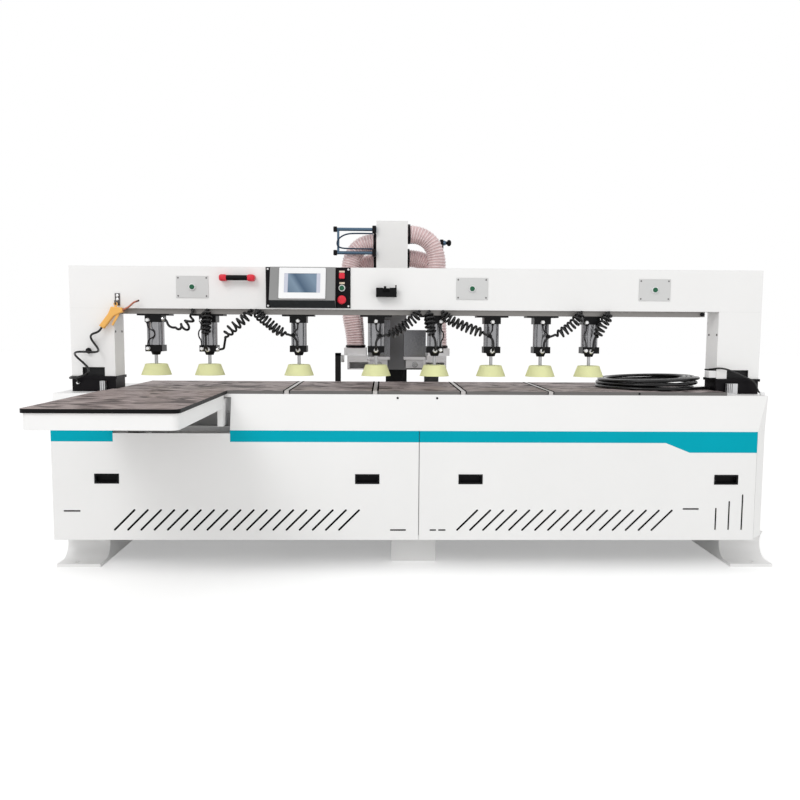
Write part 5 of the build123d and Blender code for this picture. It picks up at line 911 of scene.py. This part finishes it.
def boot_lead():
    """A lead from the small terminal box on the right column, over the boot to its connector on the deck."""
    low = TERMINAL_LOW
    high = TERMINAL_HIGH
    slab("terminal_box", [(low, high)], 0.003, WHITE_PLASTIC, "base")
    lids = []
    for z, way in ((high.z, 1), (low.z, -1)):
        bottom, top = sorted((z - way * TERMINAL_LAP, z + way * TERMINAL_LID))
        front = (low.x - TERMINAL_MARGIN, low.y - TERMINAL_MARGIN, bottom)
        lids.append((front, (high.x - TERMINAL_MARGIN, high.y + TERMINAL_MARGIN, top)))
    slab("terminal_box_plates", lids, 0.0015, BLACK_PLASTIC, "base")
    sleeve = [(0.0062, 0), (0.0062, 0.004), (0.0054, 0.006), (0.0047, 0.016), (0.0044, 0.017)]
    place = (BOOT_ROUTE[0], BOOT_LEAD_WAY)
    turned("boot_lead_relief", sleeve, [place], BLACK_PLASTIC, "base", 20)
    plug = slab("lead_connector", [CONNECTOR], 0.004, WHITE_PLASTIC, "base")
    thin_cord("boot_lead", BOOT_ROUTE, BOOT_LEAD, CABLE_BLACK, "base")


def gate_tube():
    """A dark air tube that loops between the two gate cylinders."""
    thin_cord("gate_tube", GATE_ROUTE, GATE_TUBE, HOSE_BLUE, "head")


air_hoses()
gun_hose()
power_cable()
thin_tubes()
hose_collars()
boot_lead()
gate_tube()


# Dust hoses


def even_places(places, count):
    """Points at equal steps along a line."""
    lengths = [0]
    for before, after in zip(places, places[1:]):
        lengths.append(lengths[-1] + (after - before).length)
    even = []
    index = 0
    for step in range(count + 1):
        wanted = lengths[-1] * step / count
        while index < len(places) - 2 and lengths[index + 1] < wanted:
            index += 1
        span = lengths[index + 1] - lengths[index]
        even.append(places[index].lerp(places[index + 1], (wanted - lengths[index]) / span))
    return even


def dust_hose(name, y, points):
    """A thin film hose over a wire spiral: raised pale ribs with the film drawn in between them."""
    places = even_places(read_route([(HEAD_X + x, y, z) for x, z in points]), DUST_RIBS * DUST_RINGS)
    frames = route_frames(places, (0, 1, 0))
    mesh = bmesh.new()
    rings = []
    for index, (place, (tangent, normal, cross)) in enumerate(zip(places, frames)):
        ring = []
        for side in range(DUST_SIDES):
            angle = 2 * math.pi * side / DUST_SIDES
            phase = (index / DUST_RINGS + side / DUST_SIDES) % 1
            rise = max(0, math.cos(2 * math.pi * phase)) ** RIB_ROUNDING
            crease = DUST_CREASE * math.sin(CREASES * angle + CREASE_SHIFT * index) * (1 - rise)
            radius = DUST_RADIUS - DUST_GROOVE * (1 - rise) + crease
            ring.append(mesh.verts.new(place + (normal * math.cos(angle) + cross * math.sin(angle)) * radius))
        rings.append(ring)
    for index, row in enumerate(close_tube(mesh, rings)):
        for side, face in enumerate(row):
            phase = ((index + 0.5) / DUST_RINGS + side / DUST_SIDES) % 1
            face.material_index = 1 if min(phase, 1 - phase) < RIB_SHARE else 0
    return add_mesh(name, mesh, (FILM, FILM_RIB), "head", angle=1.2)


def dust_hoses():
    """The four hoses from the hoods up to the dust box."""
    for number, (y, points) in enumerate(DUST_HOSES, 1):
        hose = dust_hose(f"dust_hose_{number}", y, points)
        if number == 1:
            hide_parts("dust_hoses")


dust_hoses()


# CAD nodes


def plain_paint():
    """The one finish that most nodes have all over."""
    plain = {
        WHITE: ("base_deck", "front_panel_left", "front_panel_right", "base_panels", "floor_feet",
                "side_table_frame", "beam_cover", "column_covers", "dust_box"),
        FRAME_GREY: ("base_frame",),
        GREY: ("head_slide",),
        DARK_GREY: ("portal_frame", "carriage_saddle", "head_column"),
        TEAL: ("accent_strips",),
        BLACK_PLASTIC: ("recess_pulls", "scanner_cradle", "pull_handle"),
        BLACK_PAINT: ("column_boots", "operator_panel"),
        BLACK_ALLOY: ("cylinder_caps",),
        BOARD: ("table_boards",),
        SIDE_BOARD: ("side_table_top",),
        STRIP: ("table_strips",),
        RAIL_ALLOY: ("clamp_rail",),
        BARREL: ("cylinder_barrels",),
        ALLOY: ("feed_slide",),
        DARK_STEEL: ("gun_hook",),
        STEEL: ("x_guides", "drive_pinion", "drill_spindle_left", "drill_spindle_right"),
        ORANGE: ("blow_gun", "gun_trigger"),
        HOUSING: ("operator_housing",),
        WHITE_PLASTIC: ("touch_display",),
        PLATE_GREY: ("button_plates",),
        PALE_GREY: ("drill_gearboxes", "dust_hoods"),
        GREEN: ("start_button_left", "start_button_middle", "start_button_right", "panel_start_button"),
        RED: ("stop_button",),
        MOTOR: ("drive_motor",),
        MOTOR_ALLOY: ("spindle_motors",),
        BAR_STEEL: ("gate_cylinders",),
    }
    for material, names in plain.items():
        for name in names:
            paint(name, material)


def upright(face):
    """Whether a face is a side rather than a top or bottom."""
    return abs(face.normal.z) < 0.5


def shaded_return(face):
    """Whether a face belongs to one of the folded returns behind the vents, which are painted black as
    painted shade.
    """
    return any(abs(abs(face.center.x) - x) < RETURN_SLACK for x in PANEL_RETURNS)


def part_paint():
    """The nodes whose solids or sides differ in finish or carry painted shade."""
    for number in range(1, len(PRESS_X) + 1):
        name = f"press_foot_{number}"
        pad_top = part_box(name)[0].z + PAD_HEIGHT + PAD_SLACK
        paint(name, PAD)
        paint_where(name, STEEL, lambda face: face.center.z > pad_top)
    paint_where("column_boots", ALLOY, lambda face: face.center.y < STOP_SEAT)
    paint_where("table_boards", EDGE, upright)
    paint_where("side_table_top", BLACK_PLASTIC, upright)
    # The returns seen through the vent slots are painted black: painted shade
    for name in ("front_panel_left", "front_panel_right"):
        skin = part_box(name)[0].y + PANEL_SKIN
        paint_where(name, BLACK_PAINT, lambda face: face.center.y > skin and shaded_return(face))
    # Downward faces of the housing get the darker grey as painted shade
    paint_where("operator_housing", HOUSING_SHADE, lambda face: face.normal.z < -0.2)
    ring_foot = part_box("button_plates")[0].y + RING_REACH
    paint_where("button_plates", WHITE_PLASTIC, lambda face: face.center.y < ring_foot)
    paint_where("operator_panel", WHITE_PLASTIC, lambda face: face.center.y < PANEL_FACE)
    paint_where("operator_panel", RED, lambda face: face.center.y < PANEL_FACE and face.center.z > LAMP_FOOT)
    paint_where("blow_gun", COPPER, lambda face: face.center.x > NOZZLE_X and face.center.z > NOZZLE_BOTTOM)
    paint_where("blow_gun", BLACK_PLASTIC, lambda face: face.center.x > NOZZLE_TIP_X)


def on_screen(face):
    """Whether a face of the display belongs to its screen."""
    away = face.center - SCREEN_MIDDLE
    beside = abs(away.x) < SCREEN_WIDTH / 2 + SCREEN_SLACK
    return beside and abs(away.dot(SCREEN_UP)) < SCREEN_HEIGHT / 2 + SCREEN_SLACK


plain_paint()
part_paint()
paint_where("touch_display", SCREEN, on_screen)


# Small fittings


def screw(radius):
    """The profile of a low domed screw head."""
    return [
        (radius, 0), (radius, radius * 0.25), (radius * 0.8, radius * 0.45), (radius * 0.35, radius * 0.5),
        (radius * 0.3, radius * 0.3),
    ]


def control_fittings():
    """Screws, blank legend plates, the red ends of the handle and the prongs of the cradle."""
    facing = (0, -1, 0)
    places = []
    for x in PLATE_X:
        for side in (-1, 1):
            for z in (PLATE_Z - PLATE_SCREW_Z, PLATE_Z + PLATE_SCREW_Z):
                places.append(((x + side * PLATE_SCREW_X, PLATE_SEAT, z), facing))
    turned("plate_screws", screw(PLATE_SCREW), places, DARK_STEEL, "base", 20)
    places = [((x, PANEL_SEAT, z), facing) for x in PANEL_SCREW_X for z in PANEL_SCREW_Z]
    turned("panel_screws", screw(PANEL_SCREW), places, WHITE_PLASTIC, "base", 20)
    left, right = LEGEND_X
    legends = []
    for z in LEGEND_Z:
        front = (left, PANEL_SEAT - LEGEND_RISE, z - LEGEND_HALF)
        legends.append((front, (right, PANEL_SEAT, z + LEGEND_HALF)))
    slab("legend_plates", legends, 0.001, CREAM, "base")
    low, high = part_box("pull_handle")
    ends = []
    for left, right in ((low.x - HANDLE_CAP, low.x + HANDLE_END), (high.x - HANDLE_END, high.x + HANDLE_CAP)):
        front = (left, low.y - HANDLE_GROW, low.z - HANDLE_GROW)
        ends.append((front, (right, high.y - HANDLE_GAP, high.z + HANDLE_GROW)))
    slab("handle_ends", ends, 0.010, RED, "base")
    slab("cradle_prongs", CRADLE_PRONGS, 0.0025, BLACK_PLASTIC, "base")


def portal_fittings():
    """Knob, screws and bolt of the columns and the clamp rail."""
    facing = (0, -1, 0)
    knob = [
        (0.006, 0), (0.006, 0.006), (0.011, 0.008), (0.0135, 0.013), (0.0125, 0.019), (0.008, 0.023),
        (0.003, 0.024),
    ]
    turned("column_knob", knob, [(COLUMN_KNOB, facing)], BLACK_PLASTIC, "base")
    eye = [(0.0066, 0), (0.0066, 0.0012), (0.0050, 0.0022), (0.0030, 0.0022)]
    places = [((HOOK_SCREW_X, PLATE_SEAT, z), facing) for z in HOOK_SCREW_Z]
    turned("hook_screws", eye, places, BRIGHT, "base", 24)
    places = []
    for side in (-1, 1):
        for y in COLUMN_SCREW_Y:
            places.append(((side * COLUMN_INSIDE, y, COLUMN_SCREW_Z), (-side, 0, 0)))
    turned("column_screws", screw(COLUMN_SCREW), places, DARK_STEEL, "base", 20)
    bolt = [(0.010, 0), (0.010, 0.004), (0.008, 0.005), (0.008, 0.016), (0.006, 0.018)]
    turned("rail_bolt", bolt, [(RAIL_BOLT, facing)], BLACK_PAINT, "base", 6)


def base_fittings():
    """Screws of the deck, ribs on the stops, seals beside the table strips and black sheets behind the vents
    as painted shade in the slots.
    """
    places = [(place, SLOPE_WAY) for place in SLOPE_SCREWS]
    places.append((EDGE_SCREW, (0, -1, 0)))
    turned("deck_screws", screw(DECK_SCREW), places, BLACK_PAINT, "base", 20)
    ribs = []
    for x in STOP_RIB_X:
        front = (x - STOP_RIB_HALF, STOP_FRONT - STOP_RIB_RISE, STOP_RIB_Z[0])
        ribs.append((front, (x + STOP_RIB_HALF, STOP_FRONT + SINK, STOP_RIB_Z[1])))
    slab("stop_ribs", ribs, 0.0004, DARK_STEEL, "base")
    low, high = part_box("table_strips")
    seals = []
    for middle in STRIP_X:
        for side in (-1, 1):
            for inner, outer, bottom, top in (SEAL_LIP, SEAL_BODY):
                left, right = sorted((middle + side * inner, middle + side * outer))
                front = (left, low.y + SINK, high.z + bottom)
                seals.append((front, (right, high.y - SINK, high.z + top)))
    slab("strip_seals", seals, 0.0003, SEAL, "base")
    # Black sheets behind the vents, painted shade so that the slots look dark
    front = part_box("front_panel_left")[0].y + SHADE_SHEET_BEHIND
    sheets = [((left, front, SHADE_SHEET_Z[0]), (right, front + SHADE_SHEET, SHADE_SHEET_Z[1])) for left, right in SHADE_SHEET_X]
    slab("vent_shade_sheets", sheets, 0.001, BLACK_PAINT, "base")


def head_fittings():
    """Clamps on the dust hoses, mounts of the gate cylinders and the knob of the pull rod."""
    clamp = [(0.0505, 0), (0.0535, 0.001), (0.0535, 0.012), (0.0505, 0.013)]
    places = []
    for y, points in DUST_HOSES:
        x, z = points[0]
        places.append(((HEAD_X + x, y, z + CLAMP_INSET), (0, 0, 1)))
        x, z = points[-1]
        side = 1 if x > 0 else -1
        places.append(((HEAD_X + x + side * CLAMP_INSET, y, z), (side, 0, 0)))
    turned("hose_clamps", clamp, places, BLACK_PAINT, "head", 48)
    mounts = []
    for z in GATE_Z:
        for low, high, half in (GATE_FOOT, GATE_END):
            mounts.append(((*low, z - half), (*high, z + half)))
    mounts.append(ROD_MOUNT)
    slab("gate_mounts", mounts, 0.004, BLACK_PAINT, "head")
    knob = [
        (0.009, 0), (0.009, 0.004), (0.015, 0.007), (0.018, 0.014), (0.016, 0.022), (0.009, 0.027),
        (0.003, 0.028),
    ]
    turned("pull_knob", knob, [(PULL_KNOB, (1, 0, 0))], BLACK_PLASTIC, "head")


def sensor_fittings():
    """The cap on the carriage's post and the sensor on the head's left hood."""
    low = (POST_CAP_X[0], POST_FRONT, POST_TOP - POST_CAP_HEIGHT)
    high = (POST_CAP_X[1], POST_FRONT + POST_CAP_DEPTH, POST_TOP + SINK)
    slab("post_cap", [(low, high)], 0.003, BLACK_PAINT, "carriage")
    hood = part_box("dust_hoods")[0]
    low = (hood.x - SENSOR_REACH, hood.y + SENSOR_Y[0], SENSOR_Z[0])
    high = (hood.x + SINK, hood.y + SENSOR_Y[1], SENSOR_Z[1])
    slab("end_sensor", [(low, high)], 0.003, WHITE_PLASTIC, "head")


control_fittings()
portal_fittings()
base_fittings()
head_fittings()
sensor_fittings()

bpy.context.view_layer.update()
